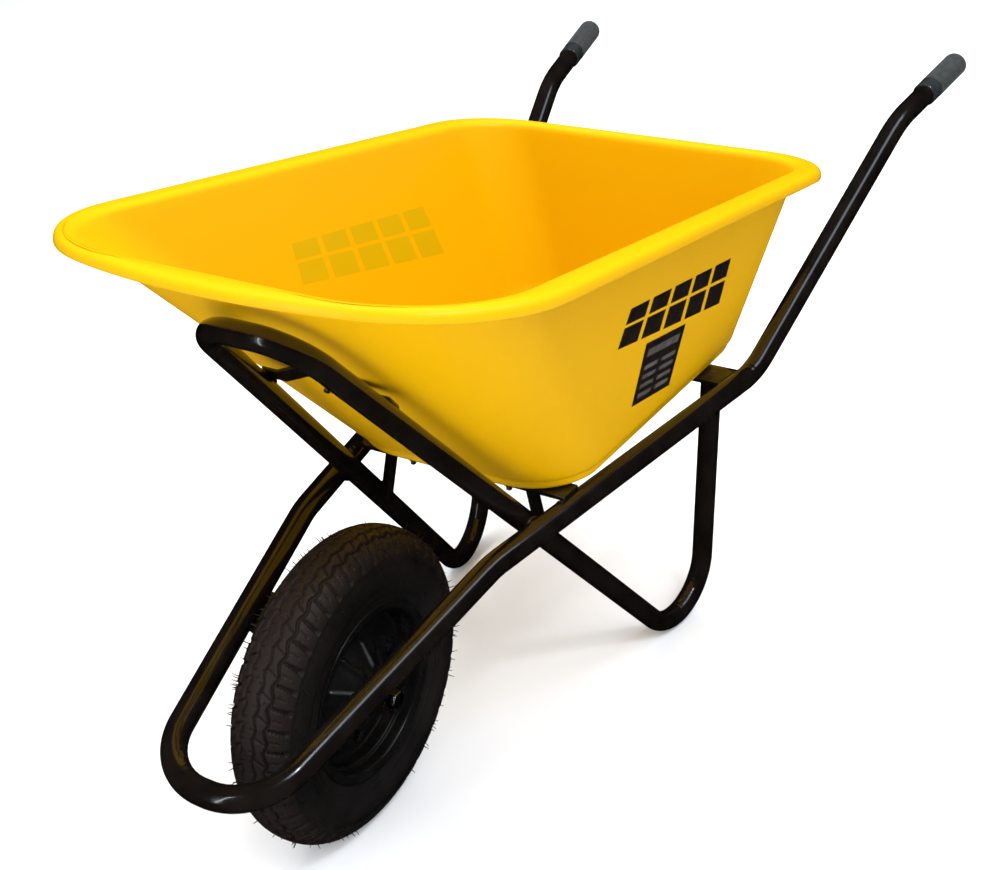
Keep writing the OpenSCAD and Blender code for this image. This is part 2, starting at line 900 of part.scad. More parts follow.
module grip_section() {
    body = grip_length - collar_len;
    translate([0, collar_len]) square([grip_r, body - grip_round]);
    square([grip_r - collar_step, collar_len - collar_groove]);
    square([grip_r - collar_groove, collar_len]);
    translate([0, grip_length - grip_round - cut]) square([grip_r - grip_round, grip_round + cut]);
    intersection() {
        translate([grip_r - grip_round, grip_length - grip_round]) circle(r = grip_round, $fn = fine);
        square([grip_r, grip_length]);
    }
}

module grip(side) {
    on_side(side) translate(grip_end - grip_length * grip_axis)
        rotate([0, polar(grip_axis), azimuth(grip_axis)]) difference() {
            rotate_extrude($fn = fine) grip_section();
            translate([0, 0, -cut])
                cylinder(h = grip_length - grip_cap + cut, r = main_r + run_gap, $fn = fine);
        }
}

module grip_left() {
    color("dimgray") place() grip(1);
}

module grip_right() {
    color("dimgray") place() grip(-1);
}

tray();
main_frame_tube();
leg_frame_tube();
front_strap();
mid_strap();
rear_strap();
strut_left();
strut_right();
axle_bracket_left();
axle_bracket_right();
axle_bolt();
axle_nut();
axle_washers();
axle_spacers();
axle_sleeve();
bearing_inner_rings();
bearing_outer_rings();
bearing_balls();
bearing_shields();
hub_tube();
rim_half_left();
rim_half_right();
rim_bolts();
rim_nuts();
tyre();
inner_tube();
valve_stem();
valve_cap();
grip_left();
grip_right();
tray_bolts();
tray_washers();
tray_nuts();
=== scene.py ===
"""Looks of the wheelbarrow. Metres, +X forward, +Y the pusher's left, +Z up.
Shapes are given in millimetres from the axle's line and the ground, and at() moves them."""
import json
import math
import random

import bmesh
import bpy
import numpy as np
from mathutils import Matrix, Vector, noise
from mathutils.bvhtree import BVHTree


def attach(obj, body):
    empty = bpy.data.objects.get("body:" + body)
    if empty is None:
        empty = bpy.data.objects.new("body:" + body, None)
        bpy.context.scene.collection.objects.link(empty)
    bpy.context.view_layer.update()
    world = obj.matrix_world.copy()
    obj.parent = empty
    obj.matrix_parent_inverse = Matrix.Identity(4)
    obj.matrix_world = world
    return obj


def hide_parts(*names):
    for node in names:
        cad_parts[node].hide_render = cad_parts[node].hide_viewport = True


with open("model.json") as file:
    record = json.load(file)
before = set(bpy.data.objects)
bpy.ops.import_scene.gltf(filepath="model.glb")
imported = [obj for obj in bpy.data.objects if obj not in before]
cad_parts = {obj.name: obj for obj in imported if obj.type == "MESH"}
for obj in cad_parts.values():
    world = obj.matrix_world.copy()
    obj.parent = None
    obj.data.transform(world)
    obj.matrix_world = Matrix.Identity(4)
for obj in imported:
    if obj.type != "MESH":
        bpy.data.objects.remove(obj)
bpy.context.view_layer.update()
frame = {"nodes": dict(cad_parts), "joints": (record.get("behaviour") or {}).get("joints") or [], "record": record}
AXLE = Vector(frame["joints"][0]["pos_m"])
AXLE_Z = AXLE.z * 1000


def at(x, y, z):
    return Vector((AXLE.x + x / 1000, y / 1000, z / 1000))


def lerp(a, b, t):
    return a + (b - a) * t


def clamp01(t):
    return min(1.0, max(0.0, t))


def smooth01(t):
    t = clamp01(t)
    return t * t * (3 - 2 * t)


def mirrored(v):
    return Vector((v.x, -v.y, v.z))


def unchanged(v):
    return v


# ---------------------------------------------------------------- materials
def add_cloud(tree, scale, detail):
    """Noise that lies still on the object."""
    coords = tree.nodes.new("ShaderNodeTexCoord")
    cloud = tree.nodes.new("ShaderNodeTexNoise")
    cloud.inputs["Scale"].default_value = scale
    cloud.inputs["Detail"].default_value = detail
    tree.links.new(coords.outputs["Object"], cloud.inputs["Vector"])
    return cloud.outputs["Fac"]


def material(name, dark, light, rough, scale, bumps=(), metallic=0.0, coat=0.0, coat_rough=0.05,
             specular=0.5, sheen=0.0):
    """Colour runs between dark and light, and roughness between its two limits, by noise.
    Each bump is (scale of the noise, height in metres, strength)."""
    mat = bpy.data.materials.new(name)
    mat.use_nodes = True
    tree = mat.node_tree
    shader = tree.nodes["Principled BSDF"]
    ramp = tree.nodes.new("ShaderNodeValToRGB")
    for stop, position, colour in zip(ramp.color_ramp.elements, (0.32, 0.68), (dark, light)):
        stop.position = position
        stop.color = (*colour, 1)
    tree.links.new(add_cloud(tree, scale, 4), ramp.inputs["Fac"])
    tree.links.new(ramp.outputs["Color"], shader.inputs["Base Color"])
    spread = tree.nodes.new("ShaderNodeMapRange")
    for key, value in zip(("From Min", "From Max", "To Min", "To Max"), (0.3, 0.7, *rough)):
        spread.inputs[key].default_value = value
    tree.links.new(add_cloud(tree, scale * 5, 5), spread.inputs["Value"])
    tree.links.new(spread.outputs["Result"], shader.inputs["Roughness"])
    normal = None
    for bump_scale, depth, strength in bumps:
        bump = tree.nodes.new("ShaderNodeBump")
        bump.inputs["Strength"].default_value = strength
        bump.inputs["Distance"].default_value = depth
        tree.links.new(add_cloud(tree, bump_scale, 3), bump.inputs["Height"])
        if normal is not None:
            tree.links.new(normal, bump.inputs["Normal"])
        normal = bump.outputs["Normal"]
    if normal is not None:
        tree.links.new(normal, shader.inputs["Normal"])
    for key, value in (("Metallic", metallic), ("Coat Weight", coat), ("Coat Roughness", coat_rough),
                       ("Specular IOR Level", specular), ("Sheen Weight", sheen)):
        shader.inputs[key].default_value = value
    return mat


def colour_by_radius(mat, colour, start, end):
    """Turns the material to another colour between two distances from the axle."""
    nodes, links = mat.node_tree.nodes, mat.node_tree.links
    base = nodes["Principled BSDF"].inputs["Base Color"]
    inner_colour = base.links[0].from_socket
    coords = nodes.new("ShaderNodeTexCoord")
    from_axle = nodes.new("ShaderNodeVectorMath")
    from_axle.operation = "SUBTRACT"
    from_axle.inputs[1].default_value = AXLE
    links.new(coords.outputs["Object"], from_axle.inputs[0])
    in_plane = nodes.new("ShaderNodeVectorMath")
    in_plane.operation = "MULTIPLY"
    in_plane.inputs[1].default_value = (1, 0, 1)
    links.new(from_axle.outputs["Vector"], in_plane.inputs[0])
    distance = nodes.new("ShaderNodeVectorMath")
    distance.operation = "LENGTH"
    links.new(in_plane.outputs["Vector"], distance.inputs[0])
    share = nodes.new("ShaderNodeMapRange")
    share.inputs["From Min"].default_value = start
    share.inputs["From Max"].default_value = end
    links.new(distance.outputs["Value"], share.inputs["Value"])
    blend = nodes.new("ShaderNodeMix")
    blend.data_type = "RGBA"
    first, second = [one for one in blend.inputs if one.type == "RGBA"]
    links.new(share.outputs["Result"], blend.inputs["Factor"])
    links.new(inner_colour, first)
    second.default_value = (*colour, 1)
    links.new([one for one in blend.outputs if one.type == "RGBA"][0], base)


TRAY = material("tray_plastic", (0.575, 0.308, 0.0006), (0.600, 0.322, 0.0008), (0.275, 0.295), scale=2,
                bumps=((5, 0.0004, 0.012),), specular=0.14)
GHOST = material("tray_shadowed", (0.445, 0.290, 0.0010), (0.475, 0.308, 0.0012), (0.275, 0.295), scale=2,
                 bumps=((5, 0.0004, 0.012),), specular=0.20)
PAINT = material("black_paint", (0.0030, 0.0022, 0.0018), (0.0065, 0.0048, 0.0040), (0.14, 0.22), scale=30,
                 bumps=((55, 0.0006, 0.30), (400, 0.00001, 0.2)), coat=0.35, specular=0.42)
WHEEL_PAINT = material("wheel_paint", (0.0030, 0.0028, 0.0028), (0.0060, 0.0056, 0.0056), (0.26, 0.38),
                       scale=26, bumps=((80, 0.0004, 0.35), (800, 0.00005, 0.5)), coat=0.12,
                       coat_rough=0.14, specular=0.35)
TYRE = material("tyre_rubber", (0.0042, 0.0036, 0.0034), (0.0100, 0.0076, 0.0068), (0.46, 0.62), scale=14,
                bumps=((1100, 0.00012, 0.6),), specular=0.34)
# the tread is browner than the sidewall
colour_by_radius(TYRE, (0.013, 0.0078, 0.0064), start=0.160, end=0.178)
TUBE_RUBBER = material("valve_rubber", (0.012, 0.012, 0.012), (0.025, 0.024, 0.024), (0.45, 0.6), scale=60,
                       bumps=((1500, 0.00008, 0.5),))
GRIP = material("grip_rubber", (0.015, 0.018, 0.018), (0.031, 0.034, 0.033), (0.5, 0.7), scale=160,
                bumps=((1700, 0.00012, 0.7),), sheen=0.08)
COLLAR = material("grip_collar", (0.012, 0.014, 0.015), (0.022, 0.024, 0.025), (0.16, 0.26), scale=60,
                  bumps=((300, 0.00008, 0.5),), coat=0.5, coat_rough=0.08)
ZINC = material("zinc_steel", (0.34, 0.34, 0.33), (0.50, 0.49, 0.47), (0.24, 0.42), scale=90,
                bumps=((900, 0.00005, 0.5),), metallic=1.0)
STEEL = material("plain_steel", (0.28, 0.28, 0.29), (0.42, 0.41, 0.41), (0.32, 0.5), scale=70,
                 bumps=((900, 0.00005, 0.5),), metallic=1.0)
BEARING = material("bearing_steel", (0.66, 0.66, 0.68), (0.78, 0.78, 0.79), (0.12, 0.2), scale=80,
                   bumps=((1500, 0.00002, 0.4),), metallic=1.0)
CAP = material("cap_plastic", (0.012, 0.012, 0.013), (0.024, 0.023, 0.023), (0.4, 0.55), scale=120,
               bumps=((2000, 0.00005, 0.5),))
DECAL = material("decal_film", (0.010, 0.006, 0.004), (0.020, 0.012, 0.008), (0.36, 0.50), scale=60,
                 bumps=((900, 0.00003, 0.4),))
DECAL_PALE = material("decal_grey", (0.055, 0.048, 0.045), (0.10, 0.09, 0.085), (0.35, 0.5), scale=60,
                      bumps=((900, 0.00003, 0.4),))

OF_SLOT = {"frame_paint": PAINT, "wheel_paint": WHEEL_PAINT, "tray_plastic": TRAY, "zinc_steel": ZINC,
           "plain_steel": STEEL, "bearing_steel": BEARING, "tyre_rubber": TYRE,
           "tube_rubber": TUBE_RUBBER, "black_plastic": CAP, "grip_rubber": GRIP}
SLOT_OF = {part["node"]: part["material_slot"] for part in frame["record"]["subparts"]}
for node_name, node_object in frame["nodes"].items():
    node_object.data.materials.clear()
    node_object.data.materials.append(OF_SLOT[SLOT_OF[node_name]])


# ---------------------------------------------------------------- mesh helpers
def piece(name, verts, faces, mat, body, nodes=(), sharp=None):
    """A visible piece. It stands in for the CAD nodes given, and sharp is an edge angle in degrees."""
    mesh = bpy.data.meshes.new(name)
    mesh.from_pydata([tuple(v) for v in verts], [], [tuple(f) for f in faces])
    mesh.validate()
    mesh.polygons.foreach_set("use_smooth", [True] * len(mesh.polygons))
    if sharp:
        mesh.set_sharp_from_angle(angle=math.radians(sharp))
    mesh.update()
    mesh.materials.append(mat)
    obj = bpy.data.objects.new(name, mesh)
    bpy.context.scene.collection.objects.link(obj)
    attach(obj, body)
    if nodes:
        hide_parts(*nodes)


def softened(name, width, body, segments=2):
    """A copy of a CAD node with its sharp edges rounded, which stands in for it."""
    mesh = frame["nodes"][name].data.copy()
    mesh.name = name + "_shape"
    work = bmesh.new()
    work.from_mesh(mesh)
    bmesh.ops.remove_doubles(work, verts=work.verts, dist=2e-6)
    bmesh.ops.dissolve_limit(work, angle_limit=math.radians(0.6), verts=work.verts, edges=work.edges)
    edges = [e for e in work.edges if e.is_manifold and e.calc_face_angle(0) > math.radians(35)]
    bmesh.ops.bevel(work, geom=edges, offset=width, segments=segments, profile=0.5, affect="EDGES",
                    clamp_overlap=True)
    bmesh.ops.triangulate(work, faces=[f for f in work.faces if len(f.verts) > 4])
    work.to_mesh(mesh)
    work.free()
    if "custom_normal" in mesh.attributes:
        mesh.attributes.remove(mesh.attributes["custom_normal"])
    mesh.polygons.foreach_set("use_smooth", [True] * len(mesh.polygons))
    mesh.set_sharp_from_angle(angle=math.radians(30))
    obj = bpy.data.objects.new(name + "_piece", mesh)
    bpy.context.scene.collection.objects.link(obj)
    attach(obj, body)
    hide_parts(name)


def turns(count):
    """Angles at equal steps round a full turn."""
    return [2 * math.pi * k / count for k in range(count)]


def circle(side, up, count):
    """Directions at equal steps round a circle in the plane of side and up."""
    return [side * math.cos(a) + up * math.sin(a) for a in turns(count)]


def add_points(verts, points):
    """Adds points to a mesh, and returns their numbers."""
    first = len(verts)
    verts.extend(points)
    return list(range(first, len(verts)))


def bridge(faces, first, second):
    """Quads between two rings of the same length."""
    for i in range(len(first)):
        j = (i + 1) % len(first)
        faces.append((first[i], first[j], second[j], second[i]))


def loft(verts, faces, rings):
    """Adds rings of points, each joined to the one before, and returns their numbers."""
    ids = [add_points(verts, ring) for ring in rings]
    for first, second in zip(ids, ids[1:]):
        bridge(faces, first, second)
    return ids


def lathe(verts, faces, profile, segments, place, relief=None):
    """A closed turned shape from (distance along the axis, radius), with a relief on its radius."""
    rings = []
    for h, r in profile:
        ring = []
        for a in turns(segments):
            radius = r + (relief(h, a) if relief else 0.0)
            ring.append(place(Vector((radius * math.cos(a), radius * math.sin(a), h))))
        rings.append(ring)
    ids = loft(verts, faces, rings)
    faces += [tuple(reversed(ids[0])), tuple(ids[-1])]


# ---------------------------------------------------------------- bent tubes
MAIN_R, LEG_R, TUBE_WALL = 15.0, 14.0, 1.5
TUBE_SIDES = 48
BORE = 30  # how far each tube is open inside its ends
BEND_STEP, STRAIGHT_STEP = 3.0, 25


def bent_route(corners, radii):
    """Points along a bent tube's centre line: position, direction, inward, share of bend, distance."""
    marks = []
    distance = 0.0
    start = corners[0]
    for i, radius in enumerate(radii):
        corner = corners[i + 1]
        d = (corner - corners[i]).normalized()
        e = (corners[i + 2] - corner).normalized()
        turn = d.angle(e)
        trim = radius * math.tan(turn / 2)
        inward = (e - d * d.dot(e)).normalized()
        bend_start = corner - d * trim
        length = (bend_start - start).length
        count = max(1, int(length / STRAIGHT_STEP))
        for k in range(count):
            share = k / count
            marks.append((start.lerp(bend_start, share), d, inward, 0.0, distance + length * share))
        distance += length
        centre = bend_start + inward * radius
        count = max(6, int(radius * turn / BEND_STEP))
        for k in range(count):
            a = turn * k / count
            pos = centre - inward * (radius * math.cos(a)) + d * (radius * math.sin(a))
            tangent = d * math.cos(a) + inward * math.sin(a)
            into = inward * math.cos(a) - d * math.sin(a)
            marks.append((pos, tangent, into, (k + 0.5) / count, distance + radius * a))
        distance += radius * turn
        start = corner + e * trim
    end = corners[-1]
    d = (end - corners[-2]).normalized()
    length = (end - start).length
    count = max(1, int(length / STRAIGHT_STEP))
    for k in range(count + 1):
        share = k / count
        marks.append((start.lerp(end, share), d, Vector((0, 0, 1)), 0.0, distance + length * share))
    return marks


def bent_tube(name, corners, radii, r, depth, wave, nodes):
    """A round tube with the small wrinkles and the slight flattening that a bending machine leaves.
    depth and wave are the wrinkles' depth and their distance."""
    marks = bent_route(corners, radii)
    side = marks[0][1].orthogonal().normalized()
    rings = []
    for pos, direction, into, share, distance in marks:
        side = (side - direction * side.dot(direction)).normalized()
        window = math.sin(math.pi * share) ** 0.6 if share else 0.0
        crest = 0.5 + 0.5 * math.cos(2 * math.pi * distance / wave)
        ring = []
        for out in circle(side, direction.cross(side), TUBE_SIDES):
            facing = out.dot(into)
            wrinkle = depth * window * max(0.0, facing) ** 1.5 * crest
            ripple = 0.10 * window * noise.noise(Vector((distance / 9, facing * 2.2, 4.1)))
            flat = 0.014 * r * window * facing * facing
            ring.append(at(*(pos + out * (r - wrinkle - flat + ripple))))
        rings.append(ring)
    verts, faces = [], []
    ids = loft(verts, faces, rings)
    # each end is open: the wall's edge, then a short bore
    for ring, mark, back in ((ids[0], marks[0], BORE), (ids[-1], marks[-1], -BORE)):
        centre, direction = at(*mark[0]), mark[1]
        inner = add_points(verts, [centre + (verts[i] - centre) * ((r - TUBE_WALL) / r) for i in ring])
        bridge(faces, ring, inner)
        deep = add_points(verts, [verts[i] + direction * (back / 1000) for i in inner])
        bridge(faces, inner, deep)
        faces.append(deep)
    piece(name, verts, faces, PAINT, "frame", nodes, sharp=50)


# corners of the main tube's left half, from the handle to the nose
GRIP_END = Vector((-1215, 307, 629))
HANDLE = Vector((-1026, 282, 592))
RAIL = Vector((-658, 222.5, 344))
FORK = Vector((-114, 133.5, 326))
NOSE = Vector((256, 69, 224))
GRIP_AXIS = (GRIP_END - HANDLE).normalized()
TUBE_END = GRIP_END - 6 * GRIP_AXIS
# corners of the leg tube's left half, from the leg's top to the bend under the tray
LEG_END = Vector((-618, 179.5, 355.2))
LEG_CUT = 346.0  # height at which the leg meets the rear strap
FOOT = Vector((-578, 184.5, -84.8))
TOP = Vector((105, 63.5, 683.2))
LEG_TOP = LEG_END + (FOOT - LEG_END) * ((LEG_END.z - LEG_CUT) / (LEG_END.z - FOOT.z))


def both_halves(left):
    """A route's left half and its mirror image as one route."""
    return left + [mirrored(v) for v in reversed(left)]


bent_tube("main_tube", both_halves([TUBE_END, HANDLE, RAIL, FORK, NOSE]),
          [150, 100, 120, 77, 77, 120, 100, 150], MAIN_R, 0.42, 11.0, ["main_frame_tube"])
bent_tube("leg_tube", both_halves([LEG_TOP, FOOT, TOP]), [72, 59, 59, 72], LEG_R, 0.55, 9.0,
          ["leg_frame_tube"])


# ---------------------------------------------------------------- weld beads
REAR_STRAP_X, REAR_STRAP_HALF = -618.5, 24
MID_STRAP_X, MID_STRAP_HALF = -262.0, 17
FRONT_STRAP_HALF = 14
STRAP_DOWN = 168.0  # from the leg tube's upper corner to the front strap, along the stay
STRAP_UP = 30.5  # from the stays' plane to the bolt's seat above the front strap
STRUT_HEAD = Vector((MID_STRAP_X, 100, 345.5))
STRUT_R, STRUT_IN = 8.0, 12
BRACKET_X, BRACKET_REACH = 30, 28
BEAD_SIDES = 10

# the plane of the slanted stays, seen from the side: along it and square to it
SLOPE = math.atan2(TOP.z - FOOT.z, TOP.x - FOOT.x)
STAY_UP = Vector((math.cos(SLOPE), 0, math.sin(SLOPE)))
STAY_OFF = Vector((-math.sin(SLOPE), 0, math.cos(SLOPE)))
STRAP_BASE = Vector((TOP.x, 0, TOP.z)) - STAY_UP * STRAP_DOWN

bead_verts, bead_faces = [], []


def bead(path, r, seed, closed=False):
    """A weld bead along a path: a run of small overlapping ripples."""
    phase = random.Random(seed).random() * 6
    dense = []
    n = len(path)
    for i in range(n if closed else n - 1):
        a, b = path[i], path[(i + 1) % n]
        count = max(2, int((b - a).length / 0.8))
        dense += [a.lerp(b, k / count) for k in range(count)]
    if not closed:
        dense.append(path[-1])
    last = len(dense) - 1
    distance = 0.0
    side = None
    rings = []
    for i, pos in enumerate(dense):
        before = dense[i - 1] if i or closed else pos
        after = dense[(i + 1) % len(dense)] if i < last or closed else pos
        tangent = (after - before).normalized()
        side = tangent.orthogonal() if side is None else side - tangent * side.dot(tangent)
        side.normalize()
        distance += (pos - dense[i - 1]).length if i else 0
        thin = 1.0 if closed else smooth01(min(i, last - i) / 4) * 0.6 + 0.4
        ripple = 1 + 0.16 * abs(math.sin(distance / 2.4 + phase)) + 0.10 * noise.noise(pos * 0.35)
        ways = circle(side, tangent.cross(side), BEAD_SIDES)
        rings.append([at(*(pos + way * (r * thin * ripple))) for way in ways])
    ids = loft(bead_verts, bead_faces, rings)
    if closed:
        bridge(bead_faces, ids[-1], ids[0])
    else:
        bead_faces.extend([tuple(ids[0]), tuple(reversed(ids[-1]))])


def oval(centre, first, second, count=24):
    """Points round an oval, from its centre and two half axes."""
    return [centre + first * math.cos(a) + second * math.sin(a) for a in turns(count)]


def nearest(p, q, a, b):
    """Nearest points of two lines, given by two points each."""
    u, v, w = q - p, b - a, p - a
    uu, uv, vv, uw, vw = u.dot(u), u.dot(v), v.dot(v), u.dot(w), v.dot(w)
    den = uu * vv - uv * uv
    return p + u * ((uv * vw - vv * uw) / den), a + v * ((uu * vw - uv * uw) / den)


def crossing_loop(p, q, a, b, r):
    """An oval round the place where a tube of radius r from p to q touches the one from a to b."""
    one, two = nearest(p, q, a, b)
    normal = (two - one).normalized()
    along = ((q - p).normalized() + (b - a).normalized()).normalized()
    return oval(one + normal * r, along * 11.5, normal.cross(along).normalized() * 8.0)


def line_at_x(a, b, x):
    return a + (b - a) * ((x - a.x) / (b.x - a.x))


def strut_foot_path():
    """Where the strut's side meets the slanted stay: its lines are cut with the stay's cylinder."""
    foot = line_at_x(TOP, FOOT, MID_STRAP_X) - Vector((0, STRUT_IN, 0))
    axis = (STRUT_HEAD - foot).normalized()
    side = Vector((0, 1, 0)).cross(axis).normalized()
    up = axis.cross(side)
    stay = (TOP - FOOT).normalized()
    flat_axis = axis - stay * axis.dot(stay)
    square = flat_axis.dot(flat_axis)
    path = []
    for k in range(41):
        a = 2 * math.pi * k / 40 + (0 if up.y < 0 else math.pi)
        start = foot + (up * math.cos(a) + side * math.sin(a)) * STRUT_R - TOP
        flat_start = start - stay * start.dot(stay)
        half = flat_start.dot(flat_axis)
        inside = half * half - square * (flat_start.dot(flat_start) - LEG_R ** 2)
        if inside > 0 and math.sqrt(inside) > half:
            path.append(start + TOP + axis * ((math.sqrt(inside) - half) / square))
    return path, oval(STRUT_HEAD, side * (STRUT_R + 0.3), up * (STRUT_R + 0.3), 20)


def frame_beads(flip, sign):
    """All beads of one side. flip is unchanged on the left and mirrored on the right."""

    def weld(path, r, seed, closed=False):
        bead([flip(v) for v in path], r, seed + sign, closed)

    # the slanted stay beside the rail
    bead(crossing_loop(flip(FORK), flip(RAIL), flip(TOP), flip(FOOT), MAIN_R), 2.5, 3 + sign, closed=True)
    # the leg's upper end under the rear strap
    leg_axis = (LEG_END - FOOT).normalized()
    weld(oval(LEG_TOP - leg_axis * 1.2, Vector((LEG_R + 0.6, 0, 0)), Vector((0, LEG_R + 0.4, 0))), 1.9, 13,
         closed=True)
    # rear strap to the rail, above and below
    rail_z = line_at_x(FORK, RAIL, REAR_STRAP_X).z
    start = REAR_STRAP_X + 2.5 - REAR_STRAP_HALF
    for z in (351.5, 345.5):
        reach = math.sqrt(MAIN_R ** 2 - (z - rail_z) ** 2)
        spots = [start + 4 * k for k in range(12)]
        weld([Vector((x, line_at_x(FORK, RAIL, x).y - reach, z)) for x in spots], 1.9, int(z))
    # both edges of the middle strap over the rail
    for x in (MID_STRAP_X - MID_STRAP_HALF - 0.3, MID_STRAP_X + MID_STRAP_HALF + 0.3):
        centre = line_at_x(FORK, RAIL, x)
        angles = [math.radians(94 + 6.5 * k) for k in range(7)]
        over = MAIN_R - 0.4
        weld([Vector((x, centre.y + over * math.cos(a), centre.z + over * math.sin(a))) for a in angles],
             1.8, int(-x))
    foot_path, head_loop = strut_foot_path()
    weld(foot_path, 1.8, 41)
    weld(head_loop, 1.6, 43, closed=True)
    # front strap's ends on the slanted stays: both edges, then the end
    stay = Vector((0, line_at_x(TOP, FOOT, STRAP_BASE.x).y, 0))
    for edge in (1.4 - FRONT_STRAP_HALF, FRONT_STRAP_HALF - 1.4):
        weld([STRAP_BASE + stay + STAY_UP * edge + STAY_OFF * (LEG_R + 0.2 - 0.034 * t * t)
              + Vector((0, t, 0)) for t in (-9, -6, -3, 0)], 1.8, int(edge))
    weld([STRAP_BASE + stay + STAY_UP * t + STAY_OFF * (LEG_R + 0.4) + Vector((0, 0.8, 0))
          for t in (-12, -6, 0, 6, 12)], 2.0, 91)
    # the axle bracket's top under the main tube
    top = line_at_x(FORK, NOSE, BRACKET_X)
    nose_way = (NOSE - FORK).normalized()
    weld([top + nose_way * t + Vector((0, -12.348, -MAIN_R / 2))
          for t in range(-BRACKET_REACH, BRACKET_REACH + 1, 6)], 2.2, 77)


frame_beads(unchanged, 1)
frame_beads(mirrored, -1)
piece("weld_beads", bead_verts, bead_faces, PAINT, "frame")


# ---------------------------------------------------------------- plates, axle and fasteners
for plate in ("front_strap", "mid_strap", "rear_strap"):
    softened(plate, 0.0011, "frame", segments=3)
for plate in ("axle_bracket_left", "axle_bracket_right"):
    softened(plate, 0.0009, "frame")
for small in ("axle_bolt", "axle_nut", "axle_washers", "axle_spacers", "tray_washers", "tray_nuts"):
    softened(small, 0.0005, "frame")
for small in ("rim_bolts", "rim_nuts", "valve_stem", "valve_cap"):
    softened(small, 0.0005, "wheel")
softened("hub_tube", 0.0008, "wheel")


# ---------------------------------------------------------------- tray
# Corners of the two outlines, each (forward, sideways, radius) for its left half. The rim's lies in
# the tilted plane of the rim, and the floor's is level.
RIM_BACK, RIM_Z, TILT = -788.0, 611.0, math.radians(9.2)
WALL_REAR, WALL_FRONT = (110, 173, 85), (795, 118, 145)
FLOOR_BACK, FLOOR_Z, STEP = -747.0, 351.0, 14.0
FLOOR_REAR, FLOOR_FRONT = (74, 103, 74), (430, 79, 90)
WALL = 4.0
# the rim's outer edge: rear corner, front corner, and the front's bow as (centre, radius)
EDGE_REAR, EDGE_FRONT, BOW = (110, 178, 110), (779, 118, 175), (352, 618)
TRAY_MIDDLE = 430
ARC, SIDE_N, END_N, EDGE_N = 18, 26, 12, 120
ROLL_L, ROLL_OUT, EDGE_DOWN = 12.0, 12.0, 11.0  # the lip's roll: inside, outside and down


def rim_point(u, v, h):
    """A point u forward and v sideways in the rim's plane, and h above it."""
    c, s = math.cos(TILT), math.sin(TILT)
    return Vector((RIM_BACK + u * c - h * s, v, RIM_Z + u * s + h * c))


def arc(x, y, r, start, end, count):
    """Points along an arc, with both ends."""
    angles = [lerp(start, end, k / count) for k in range(count + 1)]
    return [(x + r * math.cos(a), y + r * math.sin(a)) for a in angles]


def outline(rear, front, grow):
    """Points round an outline, from its rear and front corners. grow makes it larger all round."""
    quarter = math.pi / 2
    rx, ry, rr = rear[0], rear[1], rear[2] + grow
    fx, fy, fr = front[0], front[1], front[2] + grow
    pts = []

    def edge(count, x, y):
        x0, y0 = pts[-1]
        pts.extend((lerp(x0, x, k / count), lerp(y0, y, k / count)) for k in range(1, count))

    pts += arc(rx, ry, rr, 2 * quarter, quarter, ARC)
    edge(SIDE_N, fx, fy + fr)
    pts += arc(fx, fy, fr, quarter, 0, ARC)
    edge(END_N, fx + fr, -fy)
    pts += arc(fx, -fy, fr, 0, -quarter, ARC)
    edge(SIDE_N, rx, -ry - rr)
    pts += arc(rx, -ry, rr, -quarter, -2 * quarter, ARC)
    edge(END_N, rx - rr, ry)
    return pts


def wall_loop(grow):
    return outline(WALL_REAR, WALL_FRONT, grow)


def floor_ring(grow, z):
    return [Vector((FLOOR_BACK + x, y, z)) for x, y in outline(FLOOR_REAR, FLOOR_FRONT, grow)]


def rim_ring(loop):
    return [rim_point(x, y, 0.0) for x, y in loop]


def rim_edge():
    """The rim's outer edge as many points: two rear corners, two front corners and a bowed front."""
    meet = math.atan2(EDGE_FRONT[1], EDGE_FRONT[0] - BOW[0])
    pts = arc(*EDGE_REAR, math.pi, math.pi / 2, EDGE_N) + arc(*EDGE_FRONT, math.pi / 2, meet, EDGE_N)
    pts += arc(BOW[0], 0, BOW[1], meet, 0, EDGE_N // 2)[1:]
    return np.array(pts + [(x, -y) for x, y in reversed(pts)])


def outward(loop):
    """The direction that points straight out of a loop at each of its points."""
    out = []
    for i, (x, y) in enumerate(loop):
        (x0, y0), (x1, y1) = loop[i - 1], loop[(i + 1) % len(loop)]
        if abs(x1 - x) + abs(y1 - y) < 1e-6:
            x1, y1 = loop[(i + 2) % len(loop)]
        n = Vector((y1 - y0, x0 - x1)).normalized()
        out.append(n if n.dot(Vector((x - TRAY_MIDDLE, y))) > 0 else -n)
    return out


def cast_to(edge, loop, ways):
    """Where the ray that starts at each point of the loop and goes its own way meets the edge."""
    spans = np.roll(edge, -1, axis=0) - edge
    hits = []
    for (x, y), way in zip(loop, ways):
        w = edge - np.array([x, y])
        den = way.x * spans[:, 1] - way.y * spans[:, 0]
        den[np.abs(den) < 1e-9] = 1e-9
        t = (w[:, 0] * spans[:, 1] - w[:, 1] * spans[:, 0]) / den
        k = (w[:, 0] * way.y - w[:, 1] * way.x) / den
        best = t[(t > 0) & (k >= -1e-6) & (k <= 1 + 1e-6)].min()
        hits.append((x + way.x * best, y + way.y * best))
    return hits


inner_low = floor_ring(-WALL, FLOOR_Z + STEP + WALL)
outer_low = floor_ring(0.0, FLOOR_Z + STEP)
outer_high = rim_ring(wall_loop(0.0))
inner_rim = wall_loop(-WALL)
inner_high = rim_ring(inner_rim)
ways = outward(inner_rim)
out_ways = [rim_point(w.x, w.y, 0) - rim_point(0, 0, 0) for w in ways]
edge_ring = rim_ring(cast_to(rim_edge(), inner_rim, ways))
RIM_UP = rim_point(0, 0, 1) - rim_point(0, 0, 0)


def blend(low, high, t):
    """A ring between two rings."""
    return [a.lerp(b, t) for a, b in zip(low, high)]


